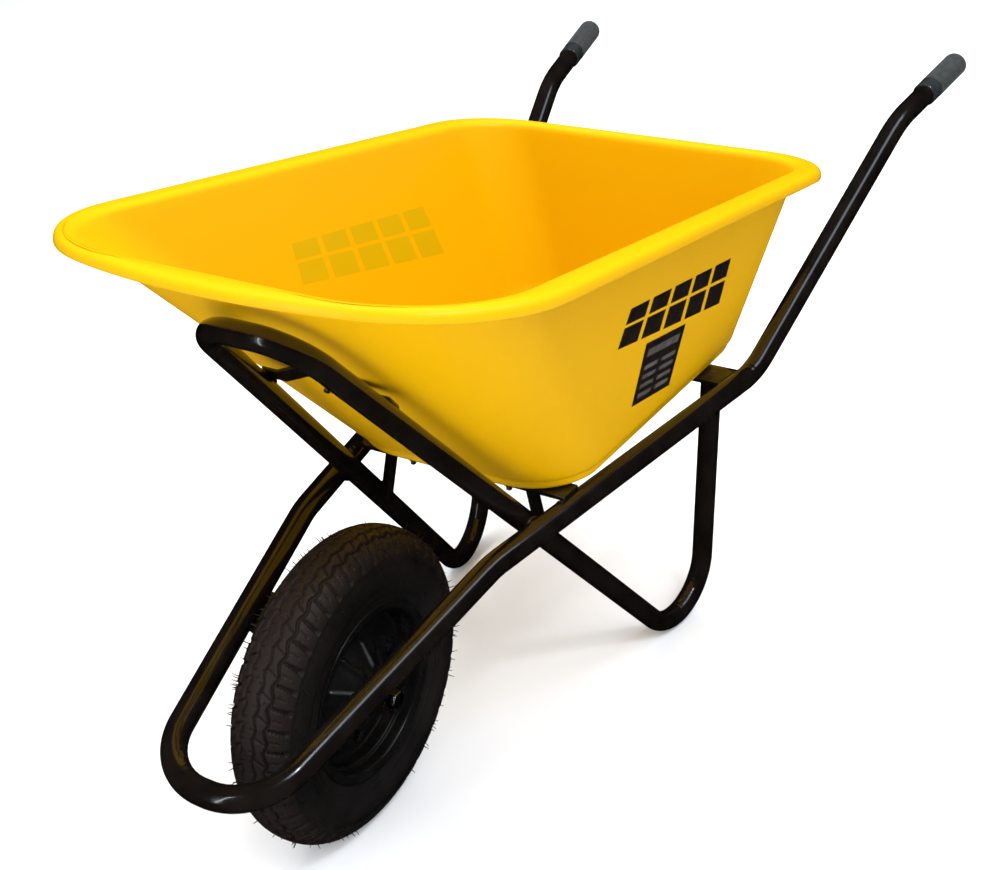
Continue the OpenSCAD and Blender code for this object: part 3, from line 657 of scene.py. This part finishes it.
def wall_rings(low, high, first, last, count=22):
    return [blend(low, high, lerp(first, last, k / count)) for k in range(count + 1)]


def round_ring(first, middle, last, t):
    """A ring on a rounded edge, whose sharp corner would be the middle ring."""
    return [a * (1 - t) ** 2 + b * (2 * t * (1 - t)) + c * t * t for a, b, c in zip(first, middle, last)]


def shifted(ring, out, up=0.0):
    """A ring moved out in the rim's plane and up from it."""
    return [p + w * out + RIM_UP * up for p, w in zip(ring, out_ways)]


# inside: floor edge, a soft fillet and the wall
tray_rings = [floor_ring(grow, z) for grow, z in
              ((-64, 355.0), (-44, 355.0), (-33, 355.25), (-25, 356.2), (-18, 358.2), (-12.5, 361.4),
               (-8.5, 365.6))]
wall_end = [b - (b - a).normalized() * ROLL_L for a, b in zip(inner_low, inner_high)]
tray_rings += wall_rings(inner_low, wall_end, 0.02, 1.0)
# the roll over the rim, down its edge and back under it
crown_in, crown_out = shifted(inner_high, ROLL_L), shifted(edge_ring, -ROLL_OUT)
edge_down = shifted(edge_ring, 0.0, -EDGE_DOWN)
tray_rings += [round_ring(wall_end, inner_high, crown_in, k / 8) for k in range(1, 9)]
tray_rings += [[p + RIM_UP * 0.25 for p in blend(crown_in, crown_out, t)] for t in (1 / 3, 2 / 3)]
tray_rings += [round_ring(crown_out, edge_ring, edge_down, k / 8) for k in range(9)]
tray_rings += [shifted(edge_ring, out, up) for out, up in
               ((-0.3, -13.2), (-1.6, -14.2), (-3.0, -13.4), (-3.5, -11.8), (-3.8, -8.0), (-5.4, -5.4),
                (-8.6, -4.4))]
tray_rings += [[p - RIM_UP * drop for p in blend(outer_high, edge_ring, t)]
               for t, drop in ((0.55, 4.4), (0.14, 4.8))]
# down the outside
tray_rings += [blend(outer_low, outer_high, t) for t in (0.975, 0.965)]
tray_rings += wall_rings(outer_low, outer_high, 0.95, 0.035)
# the stepped band along the bottom edge, then the rounded edge and the underside
tray_rings += [blend(floor_ring(grow, FLOOR_Z + STEP), rim_ring(wall_loop(grow)), t) for t, grow in
               ((0.022, -0.2), (0.016, -0.9), (0.010, -2.0), (0.004, -3.0))]
tray_rings += [floor_ring(grow, z) for grow, z in
               ((-3.6, 364.4), (-4.0, 361.0), (-4.9, 357.6), (-6.6, 354.9), (-9.4, 352.8),
                (-13.0, 351.6), (-17.0, 351.1), (-24.0, 351.0), (-44.0, 351.0), (-64.0, 351.0))]

tray_verts, tray_faces = [], []
ring_ids = [add_points(tray_verts, [at(*p) for p in ring]) for ring in tray_rings]
for first, second in zip(ring_ids, ring_ids[1:]):
    bridge(tray_faces, second, first)
tray_faces += [tuple(ring_ids[0]), tuple(reversed(ring_ids[-1]))]
piece("tray_shell", tray_verts, tray_faces, TRAY, "frame", ["tray"])


# ---------------------------------------------------------------- plain graphics on the tray's sides
tray_tree = BVHTree.FromPolygons([tuple(v) for v in tray_verts], tray_faces)
FILM_STEPS = 6


def side_point(x, z, lift, inside):
    """A point beside the tray's left side wall at x and height z, lifted off the plain wall."""

    def share(value, rear, front):
        return clamp01((value - rear[0]) / (front[0] - rear[0]))

    def wall_y(value, rear, front):
        return lerp(rear[1] + rear[2], front[1] + front[2], share(value, rear, front))

    skin = WALL if inside else 0.0
    u = (x - RIM_BACK) / math.cos(TILT)
    low = Vector((x, wall_y(x - FLOOR_BACK, FLOOR_REAR, FLOOR_FRONT) - skin, FLOOR_Z + STEP + skin))
    high = rim_point(u, wall_y(u, WALL_REAR, WALL_FRONT) - skin, 0.0)
    normal = Vector((0, high.z - low.z, low.y - high.y)).normalized()
    return low.lerp(high, (z - low.z) / (high.z - low.z)) + normal * (-lift if inside else lift)


def on_wall(x, z, lift, inside, flip):
    """The point of the modelled wall that is nearest to the plain one, with a lift."""
    aim = at(*flip(side_point(x, z, 0.0, inside)))
    start = at(*flip(side_point(x, z, 8.0, inside)))
    way = (aim - start).normalized()
    hit = tray_tree.ray_cast(start, way, 0.03)[0]
    return (hit if hit else aim) - way * (lift / 1000)


def spot_in(area, s, t):
    """The (x, z) point at two shares of a four-cornered area: s along it and t up it."""
    a, b, c, d = area
    return [lerp(lerp(a[i], b[i], s), lerp(d[i], c[i], s), t) for i in range(2)]


def within(area, s0, s1, t0, t1):
    """The part of a four-cornered area between two shares of its length and two of its height."""
    return [spot_in(area, s0, t0), spot_in(area, s1, t0), spot_in(area, s1, t1), spot_in(area, s0, t1)]


def add_film(verts, faces, area, lift, thick, inside, flip):
    """A thin film over a four-cornered area of the side wall."""
    n = FILM_STEPS
    grids = []
    for level in (lift, lift + thick):
        rows = []
        for i in range(n + 1):
            spots = [spot_in(area, i / n, j / n) for j in range(n + 1)]
            rows.append(add_points(verts, [on_wall(x, z, level, inside, flip) for x, z in spots]))
        grids.append(rows)
    for top, grid in enumerate(grids):
        for i in range(n):
            for j in range(n):
                quad = (grid[i][j], grid[i + 1][j], grid[i + 1][j + 1], grid[i][j + 1])
                faces.append(quad if top else tuple(reversed(quad)))
    rim = [(i, 0) for i in range(n)] + [(n, j) for j in range(n)]
    rim += [(n - i, n - j) for i, j in rim]
    bridge(faces, [grids[0][i][j] for i, j in rim], [grids[1][i][j] for i, j in rim])


def films(name, areas, lift, thick, mat, inside, flip):
    verts, faces = [], []
    for area in areas:
        add_film(verts, faces, area, lift, thick, inside, flip)
    piece(name, verts, faces, mat, "frame", sharp=40)


# corners as (x, z), from the lower front one
band = [(-259, 552), (-569, 480), (-553, 552), (-263, 603)]
panel = [(-361, 424), (-475, 400), (-461, 497), (-345, 521)]
blocks = []
for i in range(5):
    for bottom, top in ((0.0, 0.52), (0.60, 1.0)):
        blocks.append(within(band, 0.205 * i, 0.205 * i + 0.17, bottom, top))
bars = [within(panel, 0.10, 0.90, 0.76, 0.88)]
for k in range(4):
    for start, end in ((0.10, 0.44), (0.54, 0.90)):
        bars.append(within(panel, start, end, 0.10 + 0.15 * k, 0.17 + 0.15 * k))
for side_name, flip in (("left", unchanged), ("right", mirrored)):
    films("side_blocks_" + side_name, blocks, 0.04, 0.12, DECAL, False, flip)
    films("side_panel_" + side_name, [panel], 0.04, 0.12, DECAL, False, flip)
    films("side_panel_rows_" + side_name, bars, 0.18, 0.06, DECAL_PALE, False, flip)
    films("side_shade_" + side_name, blocks, 0.03, 0.05, GHOST, True, flip)


# ---------------------------------------------------------------- grips
GRIP_L, GRIP_R, GRIP_ROUND = 112, 17.5, 9
RELIEF_FROM, RELIEF_TO = 27.5, 102


def grip_relief(height, a):
    """Fine crossed grooves that fade out towards both ends."""
    if height < RELIEF_FROM or height > RELIEF_TO:
        return 0.0
    fade = smooth01((height - RELIEF_FROM) / 3) * smooth01((RELIEF_TO - height) / 3)
    one = abs(math.sin(a * 15 + height * 0.82))
    two = abs(math.sin(a * 15 - height * 0.82))
    return -0.34 * fade * (1 - min(1.0, 1.7 * min(one, two)))


def grip_piece(side_name, flip):
    axis = flip(GRIP_AXIS)
    turn = axis.to_track_quat("Z", "Y")
    base = flip(GRIP_END) - axis * GRIP_L

    def place(v):
        return at(*(base + turn @ v))

    profile = [(24.2, 15.3), (24.6, 16.6), (25.4, 17.2)]
    profile += [(25.4 + 0.62 * k, GRIP_R) for k in range(1, 126)]
    for a in (math.radians(10 * k) for k in range(1, 10)):
        profile.append((GRIP_L - GRIP_ROUND * (1 - math.sin(a)), GRIP_R - GRIP_ROUND * (1 - math.cos(a))))
    profile += [(GRIP_L, 5.0), (GRIP_L, 2.0)]
    verts, faces = [], []
    lathe(verts, faces, profile, 240, place, grip_relief)
    name = "grip_sleeve_" + side_name
    piece(name, verts, faces, GRIP, "frame", ["grip_" + side_name], sharp=60)
    collar = [(0.3, 15.12), (0.0, 16.2), (0.5, 16.9), (1.3, 17.2)]
    collar += [(1.3 + 20.4 * k / 8, 17.2) for k in range(1, 9)]
    collar += [(22.4, 17.0), (22.8, 16.5), (23.0, 15.4)]
    verts, faces = [], []
    lathe(verts, faces, collar, 96, place)
    piece(name + "_collar", verts, faces, COLLAR, "frame", sharp=60)


grip_piece("left", unchanged)
grip_piece("right", mirrored)


# ---------------------------------------------------------------- tray bolts with rolled threads
THREAD_PITCH, THREAD_DEPTH, THREAD_R = 1.25, 0.62, 3.95
THREAD_FROM, THREAD_TO = -20.0, -1.5


def thread(h, a):
    """How far the thread's flank lies inside its outer radius."""
    if not THREAD_FROM < h < THREAD_TO:
        return 0.0
    turn = (h / THREAD_PITCH + a / (2 * math.pi)) % 1.0
    return -THREAD_DEPTH * abs(2 * turn - 1)


bolt_profile = [(-20.6, 2.9), (THREAD_FROM, 3.5)]
bolt_profile += [(THREAD_FROM + 0.21 * k, THREAD_R) for k in range(1, 89)]
bolt_profile += [(-1.3, 3.9), (1.35, 3.95), (1.4, 8.6), (1.55, 9.0), (2.3, 9.0), (2.75, 8.2), (3.2, 6.2),
                 (3.5, 3.8), (3.6, 1.6)]
seats = [(Vector((x, s * y, FLOOR_Z)), Vector((0, 0, 1)))
         for x, y in ((MID_STRAP_X, 70), (REAR_STRAP_X, 110)) for s in (1, -1)]
seats.append((STRAP_BASE + STAY_OFF * STRAP_UP, STAY_OFF))
bolt_verts, bolt_faces = [], []
for seat, axis in seats:
    turn = axis.to_track_quat("Z", "Y")
    lathe(bolt_verts, bolt_faces, bolt_profile, 36, lambda v: at(*(seat + turn @ v)), thread)
piece("tray_bolt_set", bolt_verts, bolt_faces, ZINC, "frame", ["tray_bolts"], sharp=50)


# ---------------------------------------------------------------- tyre
TYRE_R = 190.0
TYRE_ROWS, PITCHES = 900, 46
TREAD_STEP, WALL_STEP = 0.95, 1.9  # distance of the mesh's rows on the tread and on the sidewall
# half the carcass's section from the tread's middle to the bead, as (distance from the axle, sideways)
SECTION = [(190.0, 0), (189.5, 8), (187.7, 16), (184.0, 24), (178.0, 31.2), (169.5, 37.2), (159.5, 41.2),
           (148.0, 42.8), (136.5, 42.0), (125.5, 39.6), (117.0, 36.9), (111.5, 35.6), (107.5, 35.2),
           (104.0, 34.0)]
TYRE_BEAD = [(101.0, 33.0), (101.0, 26.0), (107.0, 25.0), (112.0, 28.0)]


def curve_points(points, spacing):
    """Catmull-Rom through the points, then points at a spacing that depends on the distance."""
    pts = [np.array(p, float) for p in points]
    pts = [2 * pts[0] - pts[1]] + pts + [2 * pts[-1] - pts[-2]]
    dense = []
    for p0, p1, p2, p3 in zip(pts, pts[1:], pts[2:], pts[3:]):
        for t in np.arange(40) / 40:
            dense.append(0.5 * ((2 * p1) + (p2 - p0) * t + (2 * p0 - 5 * p1 + 4 * p2 - p3) * t ** 2
                                + (3 * p1 - p0 - 3 * p2 + p3) * t ** 3))
    dense = np.array(dense + [pts[-2]])
    dist = np.concatenate(([0], np.cumsum(np.linalg.norm(np.diff(dense, axis=0), axis=1))))
    marks = [0.0]
    while marks[-1] < dist[-1]:
        marks.append(marks[-1] + spacing(marks[-1]))
    marks = np.array(marks[:-1] + [dist[-1]])
    return marks, np.stack([np.interp(marks, dist, dense[:, c]) for c in range(2)], axis=1)


def tread_height(along, across):
    """Height over the carcass, from the distances round the tyre and across it from its middle."""
    pitch = 2 * np.pi * TYRE_R / PITCHES
    side = np.abs(across)
    # the two halves of the tread are half a pitch apart
    u = along + pitch * 0.5 * (across < 0)

    def groove(distance, width, soft=0.75):
        return np.clip((width / 2 + soft / 2 - distance) / soft, 0, 1)

    def span(start, end, soft_start=1.0, soft_end=1.0):
        return np.clip((side - start) / soft_start, 0, 1) * np.clip((end - side) / soft_end, 0, 1)

    def from_cut(cell, length):
        """Distance from the nearest of the cuts that repeat once per length."""
        return np.abs(cell - np.round(cell)) * length

    turn = u / pitch
    saw = 2 * np.abs(2 * (turn - np.floor(turn + 0.5))) - 1
    zig = saw * 0.65 + np.sin(2 * np.pi * turn) * 0.35
    lug = (u + (side - 33) * 0.22) / pitch
    lug_gap = 3.6 + 0.14 * np.clip(side - 24, 0, 40)
    cuts = [
        # two waving grooves on each side of the middle
        4.2 * groove(np.abs(side - (8.5 + 2.6 * zig)), 3.0),
        4.4 * groove(np.abs(side - (22.5 - 3.2 * zig)), 3.4),
        # cuts across the ribs between them
        3.2 * groove(from_cut((u + (side - 15.5) * 0.55) / pitch, pitch), 2.4)
        * groove(np.abs(side - 15.5), 12.0, 1.0),
        # notches in the middle rib
        2.4 * groove(from_cut((u + 0.2 * side) / (pitch / 2), pitch / 2), 1.6) * span(3.2, 9, 1.5),
        # shoulder lugs: gaps that grow wider towards the side and fade out down the sidewall
        4.6 * groove(from_cut(lug + 0.5, pitch), lug_gap) * span(23, 50.5, 1.5, 5.0),
        # a short cut in the middle of each lug
        2.0 * groove(from_cut(lug, pitch), 1.5) * span(27, 39),
    ]
    # the tread stands on the carcass down to the lugs' ends
    edge = np.clip((side - 50.0) / 3.0, 0, 1)
    height = -np.maximum.reduce(cuts) * (1 - edge) - 1.9 * edge * np.clip((74 - side) / 22.0, 0, 1)
    # fine rings and short curved bars on the sidewall
    for ring_at, ring_h, ring_w in ((61.0, 0.55, 1.6), (78.0, 0.7, 1.6), (92.0, 0.9, 2.0)):
        height += ring_h * groove(np.abs(side - ring_at), ring_w, 1.2)
    bar = (along + (side - 56) * (side - 56) * 0.045) / (pitch * 2)
    height += 1.3 * groove(from_cut(bar, pitch * 2), 1.5, 1.2) * span(51.5, 60.5, 1.5, 1.5)
    return height


# the whole section from bead to bead: distance across, then place and outward direction
marks, half = curve_points(SECTION, lambda d: TREAD_STEP if d < 50 else WALL_STEP)
sec_v = np.concatenate((-marks[:0:-1], marks))
sec_r = np.concatenate((half[:0:-1, 0], half[:, 0]))
sec_y = np.concatenate((-half[:0:-1, 1], half[:, 1]))
slope_r, slope_y = np.gradient(sec_r, sec_v), np.gradient(sec_y, sec_v)
slope_size = np.hypot(slope_r, slope_y)
out_r, out_y = slope_y / slope_size, -slope_r / slope_size


def tyre_mesh():
    theta = np.arange(TYRE_ROWS) * 2 * np.pi / TYRE_ROWS
    height = tread_height(*np.meshgrid(theta * TYRE_R, sec_v, indexing="ij"))
    radius = sec_r[None, :] + height * out_r[None, :]
    y = sec_y[None, :] + height * out_y[None, :]
    x = AXLE.x + radius * np.cos(theta)[:, None] / 1000
    z = AXLE.z + radius * np.sin(theta)[:, None] / 1000
    verts = np.stack((x, y / 1000, z), axis=-1).reshape(-1, 3).tolist()
    cols = len(sec_v)
    i = np.arange(TYRE_ROWS)[:, None]
    j = np.arange(cols - 1)[None, :]
    a, b = i * cols + j, (i + 1) % TYRE_ROWS * cols + j
    faces = np.stack((a, a + 1, b + 1, b), axis=-1).reshape(-1, 4).tolist()
    # the beads' insides, which the rim hides
    for sign, col in ((-1, 0), (1, cols - 1)):
        previous = [k * cols + col for k in range(TYRE_ROWS)]
        for r_in, y_in in TYRE_BEAD:
            ring = add_points(verts, [at(r_in * math.cos(a), sign * y_in, AXLE_Z + r_in * math.sin(a))
                                      for a in theta])
            quads = []
            bridge(quads, previous, ring)
            # bridge winds as (this, next, next inner, this inner)
            faces += quads if sign < 0 else [tuple(reversed(quad)) for quad in quads]
            previous = ring
    return verts, faces


tyre_verts, tyre_faces = tyre_mesh()
piece("tyre_tread", tyre_verts, tyre_faces, TYRE, "wheel", ["tyre"])

# the thin rubber hairs that a tyre mould's vents leave, with none near the ground
HAIRS, HAIR_FREE, HAIR_ROOT = 330, 0.30, 2.0
HAIR_SPOTS = (1.5, 15, 30, 31, 36, 40, 44, 56, 58)
hair_verts, hair_faces = [], []
rng = random.Random(7)
for i in range(HAIRS):
    theta = rng.random() * 2 * math.pi
    if abs(theta - 1.5 * math.pi) < HAIR_FREE:
        continue
    across = rng.choice((-1, 1)) * rng.choice(HAIR_SPOTS)
    k = int(np.argmin(np.abs(sec_v - across)))
    c, s = math.cos(theta), math.sin(theta)
    out = Vector((out_r[k] * c, out_y[k], out_r[k] * s))
    lean = Vector([rng.uniform(-0.35, 0.35) for _ in range(3)])
    root = Vector((sec_r[k] * c, sec_y[k], sec_r[k] * s + AXLE_Z)) - out * HAIR_ROOT
    length = rng.uniform(5.0, 10.0)
    side = out.orthogonal().normalized()
    ways = circle(side, out.cross(side), 5)
    rings = []
    for t in (0, 1 / 3, 2 / 3, 1):
        centre = root + out * (length * t) + lean * (length * 0.5 * t * t)
        rings.append([at(*(centre + way * lerp(0.75, 0.35, t))) for way in ways])
    ids = loft(hair_verts, hair_faces, rings)
    hair_faces += [tuple(reversed(ids[0])), tuple(ids[-1])]
piece("tyre_vent_hairs", hair_verts, hair_faces, TYRE, "wheel")


# ---------------------------------------------------------------- rim halves
# one half's section, as (distance from the axle, sideways): its outside, then its inside
RIM_OUTSIDE = [(19.4, 28.5), (19.4, 35.6), (20.0, 36.2), (21.4, 36.2), (22.6, 35.4), (26.0, 32.2),
               (34.0, 25.0), (42.0, 17.6), (50.0, 10.4), (55.0, 5.9), (58.5, 3.5), (62.0, 2.6),
               (68.0, 2.5), (76.0, 2.5), (86.0, 2.5), (90.5, 2.8), (93.0, 4.2), (94.3, 7.0),
               (94.6, 12.0), (94.7, 17.5), (95.2, 19.6), (96.6, 21.2), (98.0, 22.8), (98.2, 26.0),
               (98.2, 31.0), (98.6, 34.4), (100.2, 36.8), (103.5, 37.6), (107.0, 38.0),
               (109.4, 38.4), (110.6, 37.4), (110.4, 35.9), (109.0, 35.2)]
RIM_INSIDE = [(106.0, 35.1), (102.6, 34.6), (101.0, 33.0), (100.9, 26.0), (100.8, 21.6), (99.4, 19.6),
              (97.6, 18.0), (97.2, 12.0), (97.1, 2.0), (96.0, 0.2), (86.0, 0.1), (62.0, 0.1),
              (56.0, 1.2), (50.0, 6.2), (34.0, 20.6), (24.0, 29.6), (21.8, 31.0), (21.6, 28.5)]
RIM_STEP, RIM_SIDES = 1.1, 288
RIBS, RIB_H, RIB_W = 8, 3.1, 3.4
RIM_BOLTS, RIM_BOLT_R, PAD_R, PAD_H = 4, 77, 13.5, 0.9
CONE_R = 57  # the cone round the hub ends here, and a lift acts along its slope


def rim_lift(r, a):
    """How far the pressed ribs and the pads round the bolts stand out of the rim's disc."""
    spacing = 2 * math.pi / RIBS
    off = (a - spacing / 2) % spacing
    off = min(off, spacing - off) * r
    along = smooth01((r - 24.5) / 5) * smooth01((CONE_R - r) / 7)
    quarter = 2 * math.pi / RIM_BOLTS
    from_bolt = (a + quarter / 2) % quarter - quarter / 2
    pad = math.hypot(r - RIM_BOLT_R, from_bolt * RIM_BOLT_R)
    return RIB_H * along * math.exp(-(off / RIB_W) ** 2) + PAD_H * smooth01((PAD_R - pad) / 2.4)


def rim_piece(name, sign, node):
    _, outside = curve_points(RIM_OUTSIDE, lambda d: RIM_STEP)
    rings = []
    for index, (r, y) in enumerate([tuple(p) for p in outside] + RIM_INSIDE):
        on_disc = index < len(outside) and 23 < r < 93 and y < 34.5
        ring = []
        for a in turns(RIM_SIDES):
            lift = rim_lift(r, a) if on_disc else 0.0
            radius = r + lift * 0.62 if r < CONE_R else r
            ring.append(at(radius * math.cos(a), sign * (y + lift * 0.74), AXLE_Z + radius * math.sin(a)))
        rings.append(ring)
    verts, faces = [], []
    ids = loft(verts, faces, rings)
    bridge(faces, ids[-1], ids[0])
    if sign > 0:
        faces = [tuple(reversed(f)) for f in faces]
    piece(name, verts, faces, WHEEL_PAINT, "wheel", [node])


rim_piece("rim_dish_left", 1, "rim_half_left")
rim_piece("rim_dish_right", -1, "rim_half_right")


# ---------------------------------------------------------------- camera, floor and light
def look(yaw, pitch, roll):
    """The camera's turn from its heading, its dip below level and its roll, in degrees."""
    yaw, pitch, roll = (math.radians(v) for v in (yaw, pitch, roll))
    forward = Vector((math.cos(yaw) * math.cos(pitch), math.sin(yaw) * math.cos(pitch), -math.sin(pitch)))
    level = Vector((math.sin(yaw), -math.cos(yaw), 0))
    below = forward.cross(level)
    right = level * math.cos(roll) + below * math.sin(roll)
    down = below * math.cos(roll) - level * math.sin(roll)
    return Matrix((right, -down, -forward)).transposed()


camera_data = bpy.data.cameras.new("camera")
camera = bpy.data.objects.new("camera", camera_data)
bpy.context.scene.collection.objects.link(camera)
camera_data.sensor_width = 36
camera_data.lens = 55.87
camera_data.shift_x = 0.0815
camera_data.shift_y = -0.0259
camera_data.clip_end = 100
camera.matrix_world = Matrix.Translation(at(1131, 918, 1310)) @ look(214.97, 27.84, 4.25).to_4x4()
bpy.context.scene.camera = camera

floor_mesh = bpy.data.meshes.new("studio_floor")
grid = bmesh.new()
bmesh.ops.create_grid(grid, x_segments=8, y_segments=8, size=14.0)
grid.to_mesh(floor_mesh)
grid.free()
floor = bpy.data.objects.new("studio_floor", floor_mesh)
bpy.context.scene.collection.objects.link(floor)
floor.location.z = -0.0004
floor_mesh.materials.append(material("studio_floor", (0.86, 0.86, 0.86), (0.88, 0.88, 0.88), (0.75, 0.85),
                                     scale=2))
floor.visible_glossy = False


def area_light(name, position, target, size, power, colour=(1, 1, 1), shine=False):
    """A rectangular lamp, in metres and watts. With shine it also shows in what it lights."""
    data = bpy.data.lights.new(name, "AREA")
    data.shape = "RECTANGLE"
    data.size, data.size_y = size
    data.energy, data.color = power, colour
    light = bpy.data.objects.new(name, data)
    bpy.context.scene.collection.objects.link(light)
    light.location = position
    light.rotation_euler = (Vector(target) - Vector(position)).to_track_quat("-Z", "Y").to_euler()
    light.visible_glossy = shine


area_light("key", (1.6, 2.4, 3.4), (0, 0, 0.4), (2.6, 1.8), 70)
area_light("left_strip", (0.0, 1.7, 3.3), (0, 0, 0.4), (3.6, 1.0), 42, (0.74, 0.85, 1.0), shine=True)
area_light("spark", (1.0, 1.6, 3.0), (0, 0, 0.4), (0.22, 0.22), 14, shine=True)
area_light("front_strip", (3.6, -0.6, 1.6), (0.2, 0, 0.4), (0.16, 3.0), 20, (0.88, 0.94, 1.0), shine=True)
area_light("top", (-0.2, -0.6, 3.8), (0, 0, 0.3), (3.4, 2.2), 185)
area_light("front_fill", (2.6, 0.4, 0.8), (0, 0, 0.6), (3.0, 1.4), 24)
area_light("back", (-3.0, -2.6, 2.6), (0, 0, 0.4), (2.0, 1.6), 30)

world = bpy.data.worlds.new("studio")
world.use_nodes = True
bpy.context.scene.world = world
background = world.node_tree.nodes["Background"]
background.inputs["Color"].default_value = (0.95, 0.97, 1.0, 1)
background.inputs["Strength"].default_value = 0.80
world.cycles_visibility.glossy = False
bpy.context.scene.view_settings.view_transform = "Standard"
